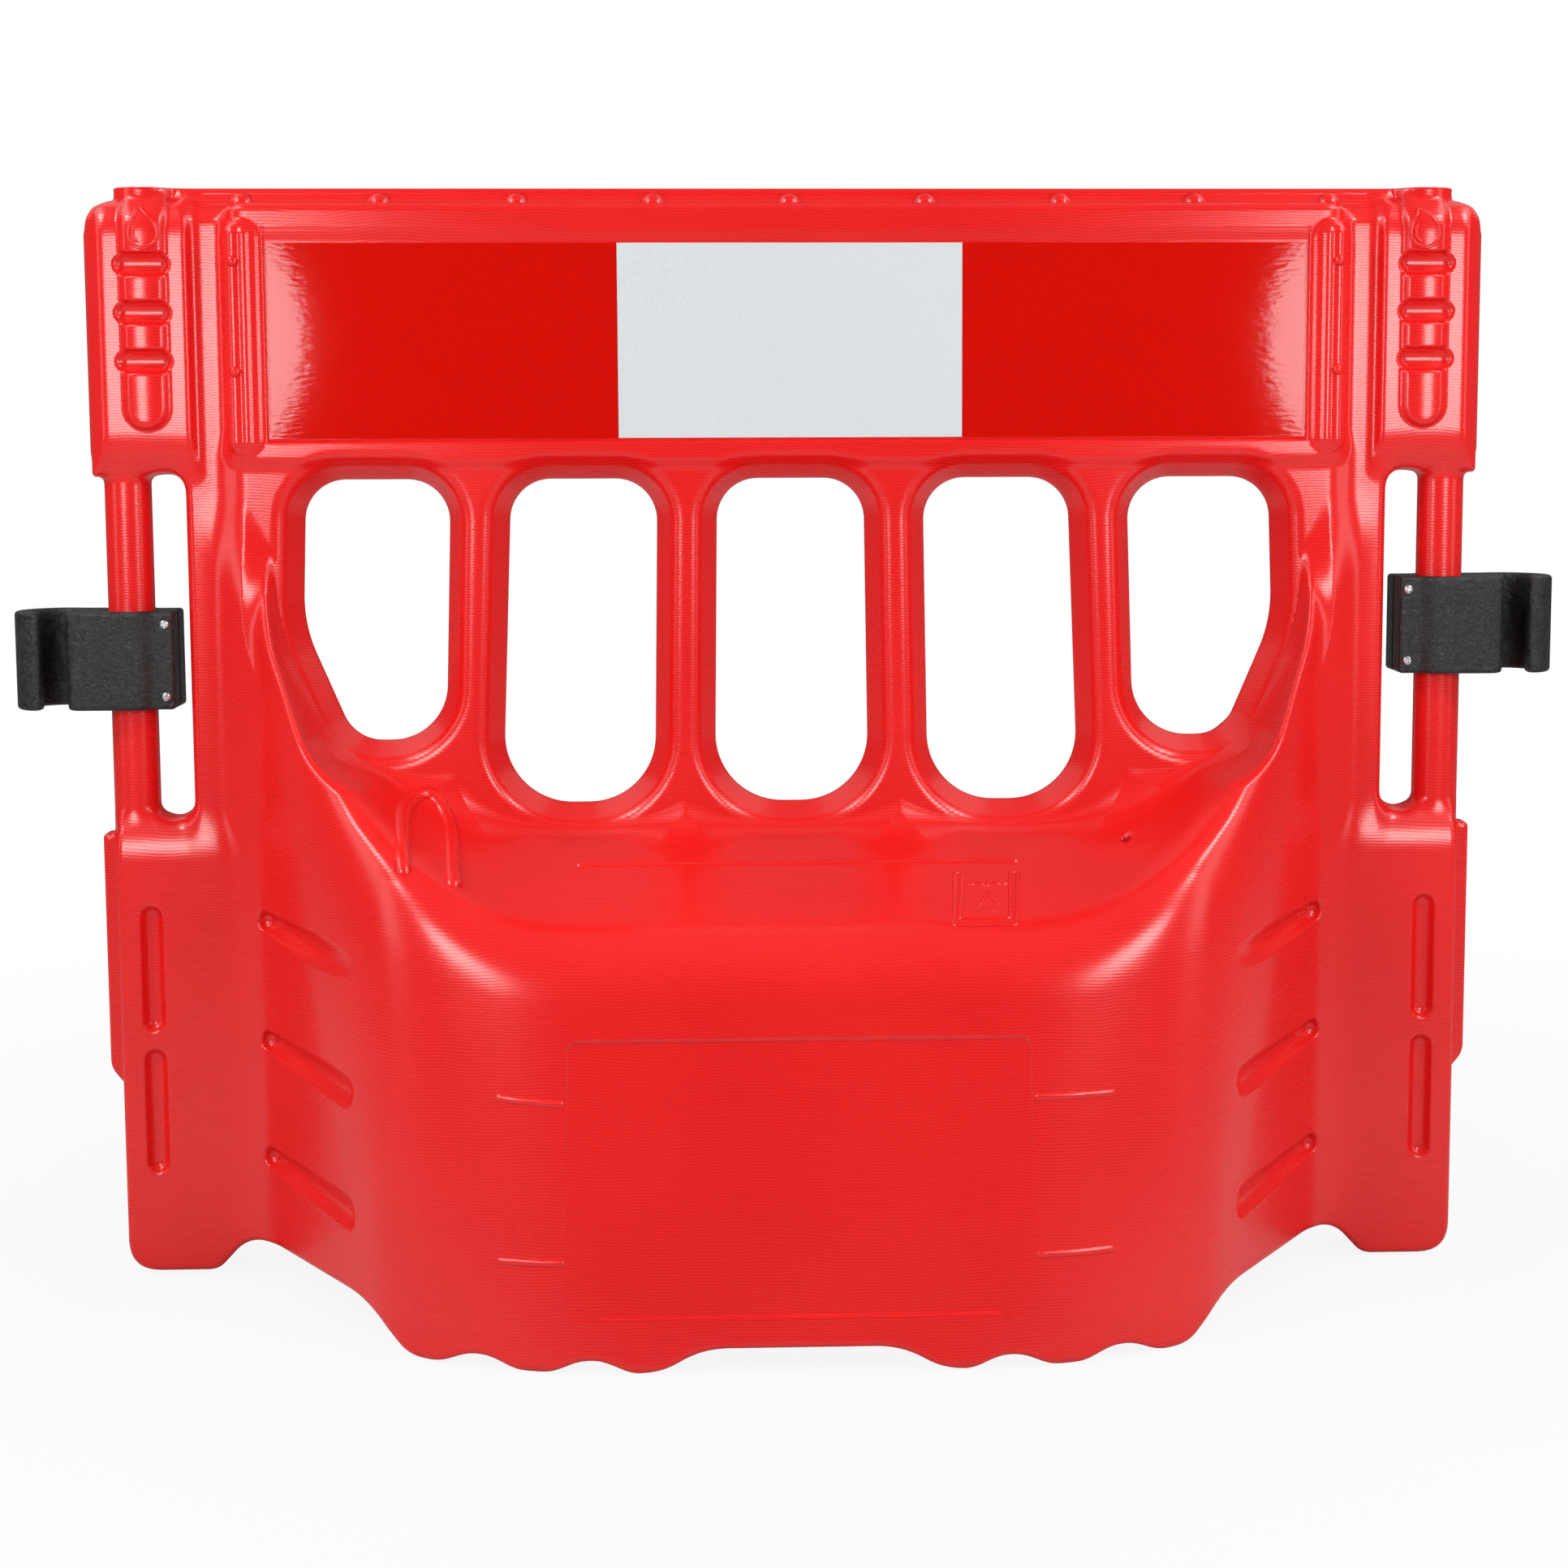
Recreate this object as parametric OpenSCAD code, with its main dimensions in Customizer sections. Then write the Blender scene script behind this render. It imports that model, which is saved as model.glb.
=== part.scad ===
// Pedestrian barrier panel: a hollow moulded barrier body with reflective sheets
// on both faces and a swivelling connector on the tube at each end.
// X runs along the barrier, the front faces -Y, Z is up and the ground is Z = 0.

/* [Body] */
// Top of the ridge above the ground
ridge_z = 1000; // [994:1:1010]
// Half depth of the end posts
post_half = 35; // [34:0.5:38]
// Half depth of the top beam
beam_half = 40; // [38:0.5:44]
// Half depth of the bars between the windows
bar_half = 34; // [32:0.5:36]
// Wall of the hollow moulding
wall = 3; // [2.5:0.25:4]

/* [End posts] */
// Distance of the tube axis from the middle
tube_x = 606; // [603:1:612]
// End face of the posts beyond the tube axis
end_d = 18; // [14:0.5:22]
// Inner side of the post boxes from the tube axis
post_w = 65; // [62:0.5:68]
// Width of the slot beside the tube
slot_w = 31; // [29.5:0.5:34]
// Lower end of the slot
slot_low_z = 429; // [424:1:434]
// Upper end of the slot
slot_high_z = 740; // [735:1:742]
// Radius of the end tube
tube_r = 21; // [20:0.1:21.5]
// Height of the taper between post box and tube
taper_h = 26; // [22:1:30]
// Top of the post boxes
post_top_z = 990; // [986:1:992]
// Setback of the bevel at the upper posts' outer corners
post_bevel = 7; // [5:0.5:9]
// Projection of the end noses
nose_d = 13; // [10:1:16]
// Width of the end noses
nose_w = 26; // [20:1:32]
// Lower end of the upper nose
nose_high_z = 761; // [758:1:770]
// Length of each nose
nose_h = 202; // [190:1:206]
// Lower end of the lower nose
nose_low_z = 192; // [185:1:200]
// Middle of the half-round column from the tube axis
column_in = 27; // [24:0.5:30]
// Radius of the half-round column
column_r = 22; // [20:0.5:23]
// How far the column stands proud
column_d = 11; // [9:0.5:12]
// Lower end of the column
column_z = 806; // [800:1:812]
// Lower edge of the first groove across the column
groove_z = 834; // [832:1:838]
// Height of each groove across the column
groove_h = 20; // [16:0.5:22]
// Spacing of the grooves
groove_pitch = 44.2; // [43:0.1:45]
// Radius of the long grooves in the lower posts
flute_r = 10; // [8:0.5:11]
// Depth of the long grooves
flute_d = 5; // [3:0.5:5]
// Middle of the long grooves from the tube axis
flute_in = 16; // [13:0.5:20]
// Lower end of the lower long groove
flute_low_z = 97; // [94:1:102]
// Lower end of the upper long groove
flute_high_z = 231; // [229:1:236]
// Length of each long groove
flute_h = 117; // [110:1:118]
// Outer radius of the fill necks
neck_r = 27; // [25:0.5:28]
// Inner radius of the fill necks
neck_bore_r = 22; // [20:0.5:23]
// Neck axis from the tube axis
neck_in = 23; // [20:0.5:26]

/* [Top beam] */
// Lower edge of the beam
beam_z = 752; // [750:0.5:755]
// Half length of the beam
beam_x = 514; // [511:1:516]
// Shoulder of the beam beside the ridge
shoulder_z = 985; // [981:1:987]
// Half width of the ridge
ridge_half = 10; // [8:0.5:11]
// Bevel along the shoulder
beam_bevel = 9; // [6:0.5:11]
// Half depth of the valley between beam and post
valley_half = 24; // [22:0.5:27]
// Radius of the domes on the shoulder
dome_r = 11; // [9:0.5:11.5]
// Spacing of the domes
dome_pitch = 123.3; // [121:0.1:125]
// Number of domes from the middle to each end
dome_side = 4; // [3:1:4]
// Outer radius of the upright ribs beside the sheets
rib_r = 9; // [7:0.5:9]
// Middle of the inner rib
rib_x = 484; // [483:0.5:486]
// Spacing of the ribs
rib_pitch = 19; // [18.5:0.5:20]
// Lower end of the ribs
rib_z = 758; // [756:1:764]
// Length of the ribs
rib_h = 210; // [200:1:214]

/* [Reflective sheets] */
// Length of one sheet
sheet_l = 311.6; // [308:0.2:312]
// Height of the sheets
sheet_h = 174.5; // [170:0.5:178]
// Thickness of the sheets
sheet_t = 1.2; // [0.8:0.1:2]
// Gap between neighbouring sheets
sheet_gap = 0.4; // [0.3:0.1:1]
// Lower edge of the sheets
sheet_z = 775; // [774:0.5:777]
// Recess depth for the sheets
recess_d = 3; // [2:0.5:3.5]
// Margin of the recess around the sheets
recess_m = 3; // [1:0.5:4]

/* [Windows] */
// Top of the windows
win_top_z = 737.5; // [734:0.5:738]
// Bottom of the three middle windows
win_low_z = 437.5; // [435:0.5:440]
// Bottom of the two outer windows
win_side_z = 497; // [495:0.5:500]
// Bevel of the windows at the bar faces
win_bevel = 17.5; // [15:0.5:18.5]
// Half width of the middle window
win_a = 67.5; // [66:0.5:69]
// Inner edge of the second windows
win_b = 122.5; // [121:0.5:124]
// Outer edge of the second windows
win_c = 256.5; // [255:0.5:258]
// Inner edge of the outer windows
win_d = 312; // [310:0.5:314]
// Outer edge of the outer windows
win_e = 444; // [442:0.5:446]
// Widening of the middle window at the bottom
win_flare = 4; // [3:0.5:5]
// Outward shift of the second windows' inner edge at the bottom
win_shift = 5; // [4:0.5:6]
// Outward shift of the second windows' outer edge at the bottom
win_lean = 12; // [10:0.5:13]
// Outward shift of the outer windows' inner edge at the bottom
win_side_shift = 8; // [6:0.5:9]
// Outward shift of the outer windows' outer edge at the slant
win_side_lean = 5; // [4:0.5:6]
// Corner radius at the top of the windows
win_top_r = 38; // [34:0.5:42]
// Corner radius at the bottom of the middle windows
win_low_r = 62; // [56:0.5:64]
// Inner corner radius at the bottom of the outer windows
win_side_r = 52; // [48:0.5:54]
// Corner radius at the slant of the outer windows
slant_r = 38; // [34:0.5:40]
// Height where the outer windows start to slant
slant_z = 604; // [600:1:608]
// Run of the slant towards the middle
slant_run = 45; // [43:0.5:47]
// Half width of the hollow inside the bars
bar_hollow = 12; // [10:0.5:13]

/* [Foot] */
// Reach of the foot from the middle at the ground
foot_half = 332; // [326:1:338]
// Reach of the foot at the top of its front face
foot_top_half = 266; // [262:1:272]
// Top of the front face
foot_top_z = 352; // [346:1:357]
// Height of the bevel along the top of the front face
brow_h = 26; // [20:1:30]
// Depth of the bevel along the front of the roof
brow_d = 26; // [20:1:30]
// Half length of the straight front edge at the ground
front_x = 255; // [250:1:260]
// Half length of the straight front edge at the top
front_top_x = 236; // [230:1:241]
// Corner of the foot along the barrier
corner_x = 347; // [342:1:352]
// Corner of the foot across the barrier
corner_y = 272; // [268:1:277]
// Upper corner of the foot along the barrier
corner_top_x = 338; // [334:1:342]
// Upper corner of the foot across the barrier
corner_top_y = 248; // [244:1:250]
// Height of the upper corner
corner_top_z = 404; // [398:1:408]
// Distance of the side face from the middle where it meets the posts
side_x = 499; // [496:1:502]
// Height of the side face at the posts
side_top_z = 645; // [640:1:650]
// Height of the roof at the bars
roof_z = 418; // [414:1:419]
// Half length of the level part of the roof
roof_x = 290; // [284:1:294]
// Roof beside the outer windows, lower point along the barrier
bowl_low_x = 385; // [380:1:390]
// Roof beside the outer windows, lower point height
bowl_low_z = 470; // [466:1:473]
// Roof beside the outer windows, upper point along the barrier
bowl_high_x = 440; // [437:1:443]
// Roof beside the outer windows, upper point height
bowl_high_z = 530; // [524:1:536]
// Inner edge of the side face's top at the posts
bowl_top_x = 482; // [478:1:486]
// Clear height under the middle of the foot
under_mid = 20; // [16:0.5:22]
// Clear height under the sides of the foot
under_side = 35; // [32:0.5:36]
// Half width of the gap under the middle
gap_mid = 83; // [78:1:88]
// First pad, inner edge
pad_a = 120; // [117:0.5:123]
// First pad, outer edge
pad_b = 147; // [145:0.5:149]
// Second pad, inner edge
pad_c = 205; // [203:0.5:207]
// Second pad, outer edge
pad_d = 243; // [241:0.5:245]
// Third pad, inner edge
pad_e = 301; // [299:0.5:303]
// Third pad, outer edge
pad_f = 332; // [330:0.5:334]
// Start of the side clearance
side_gap_x = 374; // [370:1:378]
// Slope from the side clearance down to the end foot
end_slope = 32; // [29:1:36]
// Height of the arches between the pads
arch_h = 11; // [9:0.5:12]
// Radius at the lower corners of the end posts
end_corner_r = 34; // [30:1:38]
// Half length of the label recess
label_x = 195; // [190:1:200]
// Lower edge of the label recess
label_z = 47; // [45:0.5:52]
// Height of the label recess
label_h = 225; // [218:1:230]
// Depth of the label recess
label_d = 1.5; // [1:0.25:2]
// Radius of the side pockets
pocket_r = 11; // [9:0.5:12]
// Depth of the side pockets
pocket_d = 7; // [5:0.5:8]
// Length of the side pockets
pocket_l = 168; // [160:1:174]
// Height of the lowest side pocket
pocket_z = 111; // [107:1:115]
// Spacing of the side pockets
pocket_pitch = 110; // [106:1:113]
// Distance of the pockets' middle from the middle plane
pocket_y = 132; // [128:1:136]
// Radius of the overflow hole
overflow_r = 5; // [3:0.5:6]
// Overflow hole along the barrier
overflow_x = 300; // [292:1:306]
// Overflow hole in front of the middle plane
overflow_y = 98; // [92:1:104]
// Overflow hole height
overflow_z = 408; // [404:1:412]

/* [Connectors] */
// Height of a connector
conn_h = 90; // [86:1:94]
// Lower end of the left connector
left_z = 529; // [524:1:540]
// Lower end of the right connector
right_z = 555; // [540:1:560]
// Running clearance round the tube
run_gap = 0.1; // [0.05:0.05:0.3]
// Clearance of the hook round a neighbour's tube
hook_gap = 0.1; // [0.05:0.05:0.2]
// Distance of the hook axis from the tube axis
hook_pitch = 66; // [65:0.5:67]
// Outer radius of the hook
hook_out_r = 40; // [38:0.5:41]
// Width of the hook's mouth
mouth_w = 24; // [20:0.5:28]
// Half depth of the connector
conn_half = 36; // [34:0.5:37]
// Corner radius of the clamp block
block_r = 10; // [8:0.5:11]
// Inner end of the clamp block
block_in = 22; // [21:0.5:23]
// Reach of the ear from the tube axis
ear_x = 42; // [41:0.5:43]
// Half depth of the ear
ear_half = 28; // [26:0.5:29]
// Root of the ear
ear_root = 18; // [16:0.5:20]
// Width of the slit that closes the clamp
slit_w = 2; // [1:0.5:3]

/* [Clamp screws] */
// Distance of the screws from the tube axis
screw_x = 34.5; // [34:0.25:35]
// Half spacing of the two screws
screw_half = 33; // [30:0.5:35]
// Radius of the screw shank
screw_r = 2.5; // [2.3:0.1:2.6]
// Radius of the screw head
head_r = 4.75; // [4.5:0.05:5]
// Height of the screw head
head_h = 3.2; // [2.8:0.1:3.6]
// Width of the cross recess
cross_w = 1.3; // [1:0.1:1.5]
// Length of the cross recess
cross_l = 5.6; // [5:0.1:6]
// Depth of the cross recess
cross_d = 1.8; // [1.2:0.1:2]
// Clearance of the screw in the ear
screw_gap = 0.25; // [0.2:0.05:0.4]
// Clearance of the screw in the nut
nut_gap = 0.05; // [0.03:0.01:0.1]
// Nut across flats
nut_af = 8; // [7.5:0.1:8.2]
// Nut thickness
nut_t = 4; // [3.5:0.1:4.5]
// Clearance of the nut in its pocket
pocket_gap = 0.15; // [0.1:0.05:0.2]

/* [Hidden] */
$fn = 64;
over = wall / 2;
skin = 1.25 * wall;
arc_steps = 8;
hook_r = tube_r + hook_gap;
sheet_pitch = sheet_l + sheet_gap;
end_x = tube_x + end_d;
post_front_x = end_x - post_bevel;
post_end_x = end_x + nose_d - over;
post_in_x = tube_x - post_w;
slot_x = tube_x - tube_r - slot_w;
slot_r = slot_w / 2;
column_x = tube_x - column_in;
flute_x = tube_x - flute_in;
neck_x = tube_x - neck_in;
end_pad_x = post_in_x;
end_gap_x = end_pad_x - end_slope;
foot_lean = (foot_half - foot_top_half) / foot_top_z;
roof_fall = (roof_z - foot_top_z) / (foot_top_half - bar_half);
side_run = (side_x - corner_x) / (corner_y - bar_half);
bowl_front_y = foot_half;
bowl_spread = (foot_top_half + bar_half) / 2;
pocket_x = side_x - side_run * (pocket_y - bar_half);
arch_w = pad_c - pad_b;
arch_r = (arch_w * arch_w / 4 + arch_h * arch_h) / (2 * arch_h);

// Both faces are alike: the rear is the front turned half round.
module both_faces() {
  children();
  rotate([0, 0, 180])
    children();
}

module both_ends() {
  children();
  mirror([1, 0, 0])
    children();
}

// A profile drawn in X and Z, carried from y_low to y_high.
module across(y_low, y_high) {
  translate([0, y_high, 0])
    rotate([90, 0, 0])
      linear_extrude(y_high - y_low)
        children();
}

// A profile drawn in Y and Z, carried from x_low to x_high.
module along(x_low, x_high) {
  translate([x_low, 0, 0])
    rotate([90, 0, 90])
      linear_extrude(x_high - x_low)
        children();
}

module box(low, high) {
  translate(low)
    cube(high - low);
}

// A rod along Y.
module rod(x, z, y_low, y_high, r) {
  translate([x, y_low, z])
    rotate([-90, 0, 0])
      cylinder(h = y_high - y_low, r = r);
}

// Rounding of a convex outline whose corners are [x, z, radius].
function unit(v) = v / norm(v);
function spot(c) = [c[0], c[1]];
function corner_arc(a, b, c, r) =
  let (
    p = unit(a - b),
    q = unit(c - b),
    half = acos(p * q) / 2,
    mid = b + unit(p + q) * r / sin(half),
    from = b + p * r / tan(half) - mid,
    to = b + q * r / tan(half) - mid,
    turn = 180 - 2 * half
  )
  [for (i = [0:arc_steps])
    let (t = turn * i / arc_steps)
    mid + (from * sin(turn - t) + to * sin(t)) / sin(turn)];
function rounded(corners) =
  let (n = len(corners))
  [for (i = [0:n - 1])
    each corner_arc(
      spot(corners[(i + n - 1) % n]), spot(corners[i]), spot(corners[(i + 1) % n]), corners[i][2])];

// The same outline with every side moved outward by d.
function outward(a, b) = let (u = unit(b - a)) [u[1], -u[0]];
function meet(a, u, b, v) = a + u * cross(b - a, v) / cross(u, v);
function grown(corners, d) =
  let (n = len(corners))
  [for (i = [0:n - 1])
    let (
      a = spot(corners[(i + n - 1) % n]),
      b = spot(corners[i]),
      c = spot(corners[(i + 1) % n]),
      m = meet(b + outward(a, b) * d, b - a, b + outward(b, c) * d, c - b)
    )
    [m[0], m[1], corners[i][2] + d]];

// Window outlines, counter-clockwise from the lower left.
function plain_window(low, high, low_shift, high_shift) = [
  [low + low_shift, win_low_z, win_low_r],
  [high + high_shift, win_low_z, win_low_r],
  [high, win_top_z, win_top_r],
  [low, win_top_z, win_top_r]
];
side_window = [
  [win_d + win_side_shift, win_side_z, win_side_r],
  [win_e + win_side_lean - slant_run, win_side_z, slant_r],
  [win_e + win_side_lean, slant_z, slant_r],
  [win_e, win_top_z, win_top_r],
  [win_d, win_top_z, win_top_r]
];

// A window is narrowest at the middle plane and bevelled to both faces.
module window(corners) {
  y = bar_half + over;
  mid = rounded(corners);
  rim = rounded(grown(corners, win_bevel * y / bar_half));
  n = len(mid);
  points = concat(
    [for (p = rim) [p[0], -y, p[1]]],
    [for (p = mid) [p[0], 0, p[1]]],
    [for (p = rim) [p[0], y, p[1]]]);
  sides = [for (k = [0, n]) for (i = [0:n - 1])
    let (j = (i + 1) % n)
    each [[k + i, k + j, k + n + j], [k + i, k + n + j, k + n + i]]];
  front = [for (i = [n - 1:-1:0]) i];
  rear = [for (i = [0:n - 1]) 2 * n + i];
  polyhedron(points = points, faces = concat([front, rear], sides));
}

module windows() {
  window(plain_window(-win_a, win_a, -win_flare, win_flare));
  both_ends() {
    window(plain_window(win_b, win_c, win_shift, win_lean));
    window(side_window);
  }
}

// Four mirrored copies of a corner, as an outline in X and Y.
function four(c) = [[c[0], -c[1]], [c[0], c[1]], [-c[0], c[1]], [-c[0], -c[1]]];

// The foot with a full roof, shrunk by d and standing on z_low.
module foot_block(d, z_low) {
  hull() {
    translate([0, 0, z_low])
      linear_extrude(over) {
        polygon(four([front_x - d, foot_half - d - foot_lean * z_low]));
        polygon(four([corner_x - d, corner_y - d]));
        polygon(four([side_x - d, bar_half - d]));
      }
    translate([0, 0, foot_top_z - d - over])
      linear_extrude(over)
        polygon(four([front_top_x - d, foot_top_half - d]));
    translate([0, 0, corner_top_z - d - over])
      linear_extrude(over)
        polygon(four([corner_top_x - d, corner_top_y - d]));
    translate([0, 0, side_top_z - d - over])
      linear_extrude(over)
        polygon(four([side_x - d, bar_half - d]));
  }
}

// The space over the front half of the roof, grown by d, from y_back forward.
module bowl(d, y_back) {
  top = ridge_z;
  floor_back = roof_z + roof_fall * (bar_half - y_back) - d;
  floor_front = roof_z + roof_fall * (bar_half - bowl_front_y) - d;
  right = [
    [roof_x, floor_back], [bowl_low_x + d, bowl_low_z - d], [bowl_high_x + d, bowl_high_z - d],
    [bowl_top_x + d, side_top_z], [bowl_top_x + d, top]];
  wide = [[front_top_x, floor_front], [corner_x, corner_top_z - d], [corner_x + bowl_spread, top]];
  hull() {
    across(-y_back - over, -y_back)
      polygon(concat(right, [for (i = [len(right) - 1:-1:0]) [-right[i][0], right[i][1]]]));
    across(-bowl_front_y, -bowl_front_y + over)
      polygon(concat(wide, [for (i = [len(wide) - 1:-1:0]) [-wide[i][0], wide[i][1]]]));
  }
}

// The bevel between the front face and the roof, moved into the foot by d. It runs out at the hips.
module brow(d) {
  back_y = foot_top_half - brow_d;
  back_part = (back_y - bar_half) / (bowl_front_y - bar_half);
  low = [
    front_top_x + (front_x - front_top_x) * brow_h / foot_top_z - d,
    d - foot_top_half - foot_lean * brow_h, foot_top_z - brow_h - d];
  back = [roof_x - (roof_x - front_top_x) * back_part - d, d - back_y, foot_top_z + roof_fall * brow_d - d];
  tip = [corner_top_x - d, d - corner_top_y, corner_top_z - d];
  away = [corner_top_x - d, -foot_half, corner_top_z - d];
  right = [low, back, tip, away];
  polyhedron(
    points = concat(right, [for (p = right) [-p[0], p[1], p[2]]]),
    faces = [
      [0, 1, 5, 4], [1, 2, 6, 5], [2, 3, 7, 6], [3, 0, 4, 7], [0, 2, 1], [0, 3, 2], [4, 5, 6], [4, 6, 7]]);
}

// A pocket in each side face of the foot, grown by d.
module pockets(d) {
  turn = atan(1 / side_run);
  for (i = [0:2])
    both_ends()
      both_faces()
        translate([pocket_x, -pocket_y, pocket_z + i * pocket_pitch])
          rotate([0, 0, turn])
            translate([0, -pocket_r + pocket_d, 0]) {
              rotate([0, 90, 0])
                cylinder(h = pocket_l, r = pocket_r + d, center = true);
              for (s = [-1, 1])
                translate([s * pocket_l / 2, 0, 0])
                  sphere(r = pocket_r + d);
            }
}

// Long grooves down the lower posts.
module flutes() {
  both_ends()
    both_faces()
      for (z = [flute_low_z, flute_high_z])
        translate([flute_x, -post_half - flute_r + flute_d, z]) {
          translate([0, 0, flute_r])
            cylinder(h = flute_h - 2 * flute_r, r = flute_r);
          for (e = [flute_r, flute_h - flute_r])
            translate([0, 0, e])
              sphere(r = flute_r);
        }
}

// Clearances under the foot, grown by d, so it stands on pads.
module underside(d) {
  reach = foot_half + over;
  across(-reach, reach) {
    polygon([
      [-pad_a - d, -over], [-pad_a - d, 0], [-gap_mid - d, under_mid + d],
      [gap_mid + d, under_mid + d], [pad_a + d, 0], [pad_a + d, -over]]);
    for (s = [-1, 1])
      polygon([
        [s * (pad_f - d), -over], [s * (pad_f - d), 0], [s * (side_gap_x - d), under_side + d],
        [s * (end_gap_x + d), under_side + d], [s * (end_pad_x + d), 0], [s * (end_pad_x + d), -over]]);
  }
  both_ends() {
    for (x = [(pad_b + pad_c) / 2, (pad_d + pad_e) / 2])
      rod(x, arch_h - arch_r, -reach, reach, arch_r + d);
    difference() {
      box([end_x - end_corner_r, -reach, -over], [end_x + over, reach, end_corner_r]);
      rod(end_x - end_corner_r, end_corner_r, -reach - over, reach + over, end_corner_r - d);
    }
  }
}

// One post with its tube, nose, column and neck, at the right end.
module post() {
  box_low_z = slot_low_z + slot_r;
  box_high_z = slot_high_z - slot_r;
  along(post_in_x, end_x)
    polygon([
      [-post_half, 0], [post_half, 0], [post_half, slot_low_z - taper_h], [tube_r, box_low_z],
      [-tube_r, box_low_z], [-post_half, slot_low_z - taper_h]]);
  along(post_in_x, post_front_x)
    polygon([
      [-tube_r, box_high_z], [tube_r, box_high_z], [post_half, slot_high_z + taper_h],
      [post_half, post_top_z - beam_bevel], [post_half - beam_bevel, post_top_z],
      [beam_bevel - post_half, post_top_z], [-post_half, post_top_z - beam_bevel],
      [-post_half, slot_high_z + taper_h]]);
  translate([0, 0, slot_high_z + taper_h])
    linear_extrude(post_top_z - beam_bevel - slot_high_z - taper_h)
      polygon([
        [neck_x, -post_half], [post_front_x, -post_half], [post_end_x, -nose_w / 2],
        [post_end_x, nose_w / 2], [post_front_x, post_half], [neck_x, post_half]]);
  translate([tube_x, 0, slot_low_z - taper_h])
    cylinder(h = slot_high_z - slot_low_z + 2 * taper_h, r = tube_r);
  across(-nose_w / 2, nose_w / 2)
    for (z = [nose_low_z, nose_high_z])
      polygon([
        [end_x - nose_d, z - nose_d], [end_x, z - nose_d], [end_x + nose_d, z],
        [end_x + nose_d, z + nose_h], [end_x, z + nose_h + nose_d], [end_x - nose_d, z + nose_h + nose_d]]);
  columns();
  translate([neck_x, 0, post_top_z - wall])
    cylinder(h = ridge_z - post_top_z + wall, r = neck_r);
}

// The half-round columns on the front and rear of a post.
module columns() {
  for (s = [-1, 1])
    translate([column_x, s * (post_half + column_d - column_r), column_z])
      difference() {
        union() {
          cylinder(h = post_top_z - beam_bevel - column_z, r = column_r);
          sphere(r = column_r);
        }
        for (i = [0:2])
          translate([
            0, s * (column_r - column_d / 2), groove_z - column_z + i * groove_pitch + groove_h / 2])
            cube([column_r * 3, column_d, groove_h], center = true);
      }
}

module beam() {
  along(-beam_x, beam_x)
    polygon([
      [-beam_half, beam_z], [beam_half, beam_z],
      [beam_half, shoulder_z - beam_bevel], [beam_half - beam_bevel, shoulder_z],
      [beam_bevel - beam_half, shoulder_z], [-beam_half, shoulder_z - beam_bevel]]);
  box([-post_in_x, -valley_half, slot_high_z], [post_in_x, valley_half, shoulder_z]);
  box([-post_in_x, -ridge_half, shoulder_z - wall], [post_in_x, ridge_half, ridge_z]);
  for (s = [-1, 1])
    for (i = [-dome_side:dome_side])
      translate([i * dome_pitch, s * (ridge_half + dome_r / 2), shoulder_z])
        sphere(r = dome_r);
  both_ends()
    both_faces()
      for (i = [0, 1])
        translate([rib_x + i * rib_pitch, -beam_half, rib_z])
          cylinder(h = rib_h, r = rib_r);
}

module outside() {
  difference() {
    foot_block(0, 0);
    both_faces() {
      bowl(0, bar_half);
      brow(0);
    }
  }
  box([-slot_x, -bar_half, 0], [slot_x, bar_half, beam_z + over]);
  beam();
  both_ends()
    post();
}

// The water space: foot, bars, beam, posts and tubes run into each other.
module inside() {
  hollow = bar_half - skin;
  thin = hollow - flute_d;
  beam_hollow = beam_half - recess_d - wall;
  beam_slope_z = shoulder_z - skin - beam_bevel;
  difference() {
    union() {
      foot_block(skin, wall);
      both_ends()
        box([side_x - 2 * skin, -thin, wall], [end_x - wall, thin, slot_low_z - taper_h - wall]);
    }
    both_faces() {
      bowl(skin, 0);
      brow(skin);
    }
    pockets(wall);
    underside(wall);
  }
  both_ends()
    for (x = [(win_a + win_b) / 2, (win_c + win_d + win_shift) / 2])
      translate([x, 0, roof_z - 2 * skin])
        linear_extrude(beam_z - roof_z + 4 * skin)
          polygon([
            [-bar_hollow, -hollow / 2], [-bar_hollow / 2, -hollow], [bar_hollow / 2, -hollow],
            [bar_hollow, -hollow / 2], [bar_hollow, hollow / 2], [bar_hollow / 2, hollow],
            [-bar_hollow / 2, hollow], [-bar_hollow, hollow / 2]]);
  along(wall - beam_x, beam_x - wall)
    polygon([
      [-beam_hollow, beam_z + wall], [beam_hollow, beam_z + wall], [beam_hollow, beam_slope_z],
      [beam_hollow - beam_bevel, shoulder_z - skin], [beam_bevel - beam_hollow, shoulder_z - skin],
      [-beam_hollow, beam_slope_z]]);
  both_ends() {
    box(
      [win_e + win_bevel + wall, -hollow, slot_low_z - taper_h - 2 * wall],
      [slot_x - wall, hollow, beam_z + 2 * skin]);
    box(
      [beam_x - 2 * skin, skin - valley_half, beam_z + skin],
      [slot_x, valley_half - skin, shoulder_z - skin]);
    box(
      [post_in_x + wall, skin - post_half, slot_high_z + taper_h],
      [post_front_x - wall, post_half - skin, post_top_z - beam_bevel - wall]);
    translate([tube_x, 0, slot_low_z - taper_h - 2 * wall])
      cylinder(h = slot_high_z - slot_low_z + 2 * taper_h + 4 * wall, r = tube_r - wall);
    translate([neck_x, 0, post_top_z - beam_bevel - 2 * wall])
      cylinder(h = ridge_z, r = neck_bore_r);
  }
}

module slot() {
  mid = (slot_x + tube_x - tube_r) / 2;
  reach = beam_half + over;
  box([slot_x, -reach, slot_low_z + slot_r], [tube_x - tube_r, reach, slot_high_z - slot_r]);
  for (z = [slot_low_z + slot_r, slot_high_z - slot_r])
    rod(mid, z, -reach, reach, slot_r);
}

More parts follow.
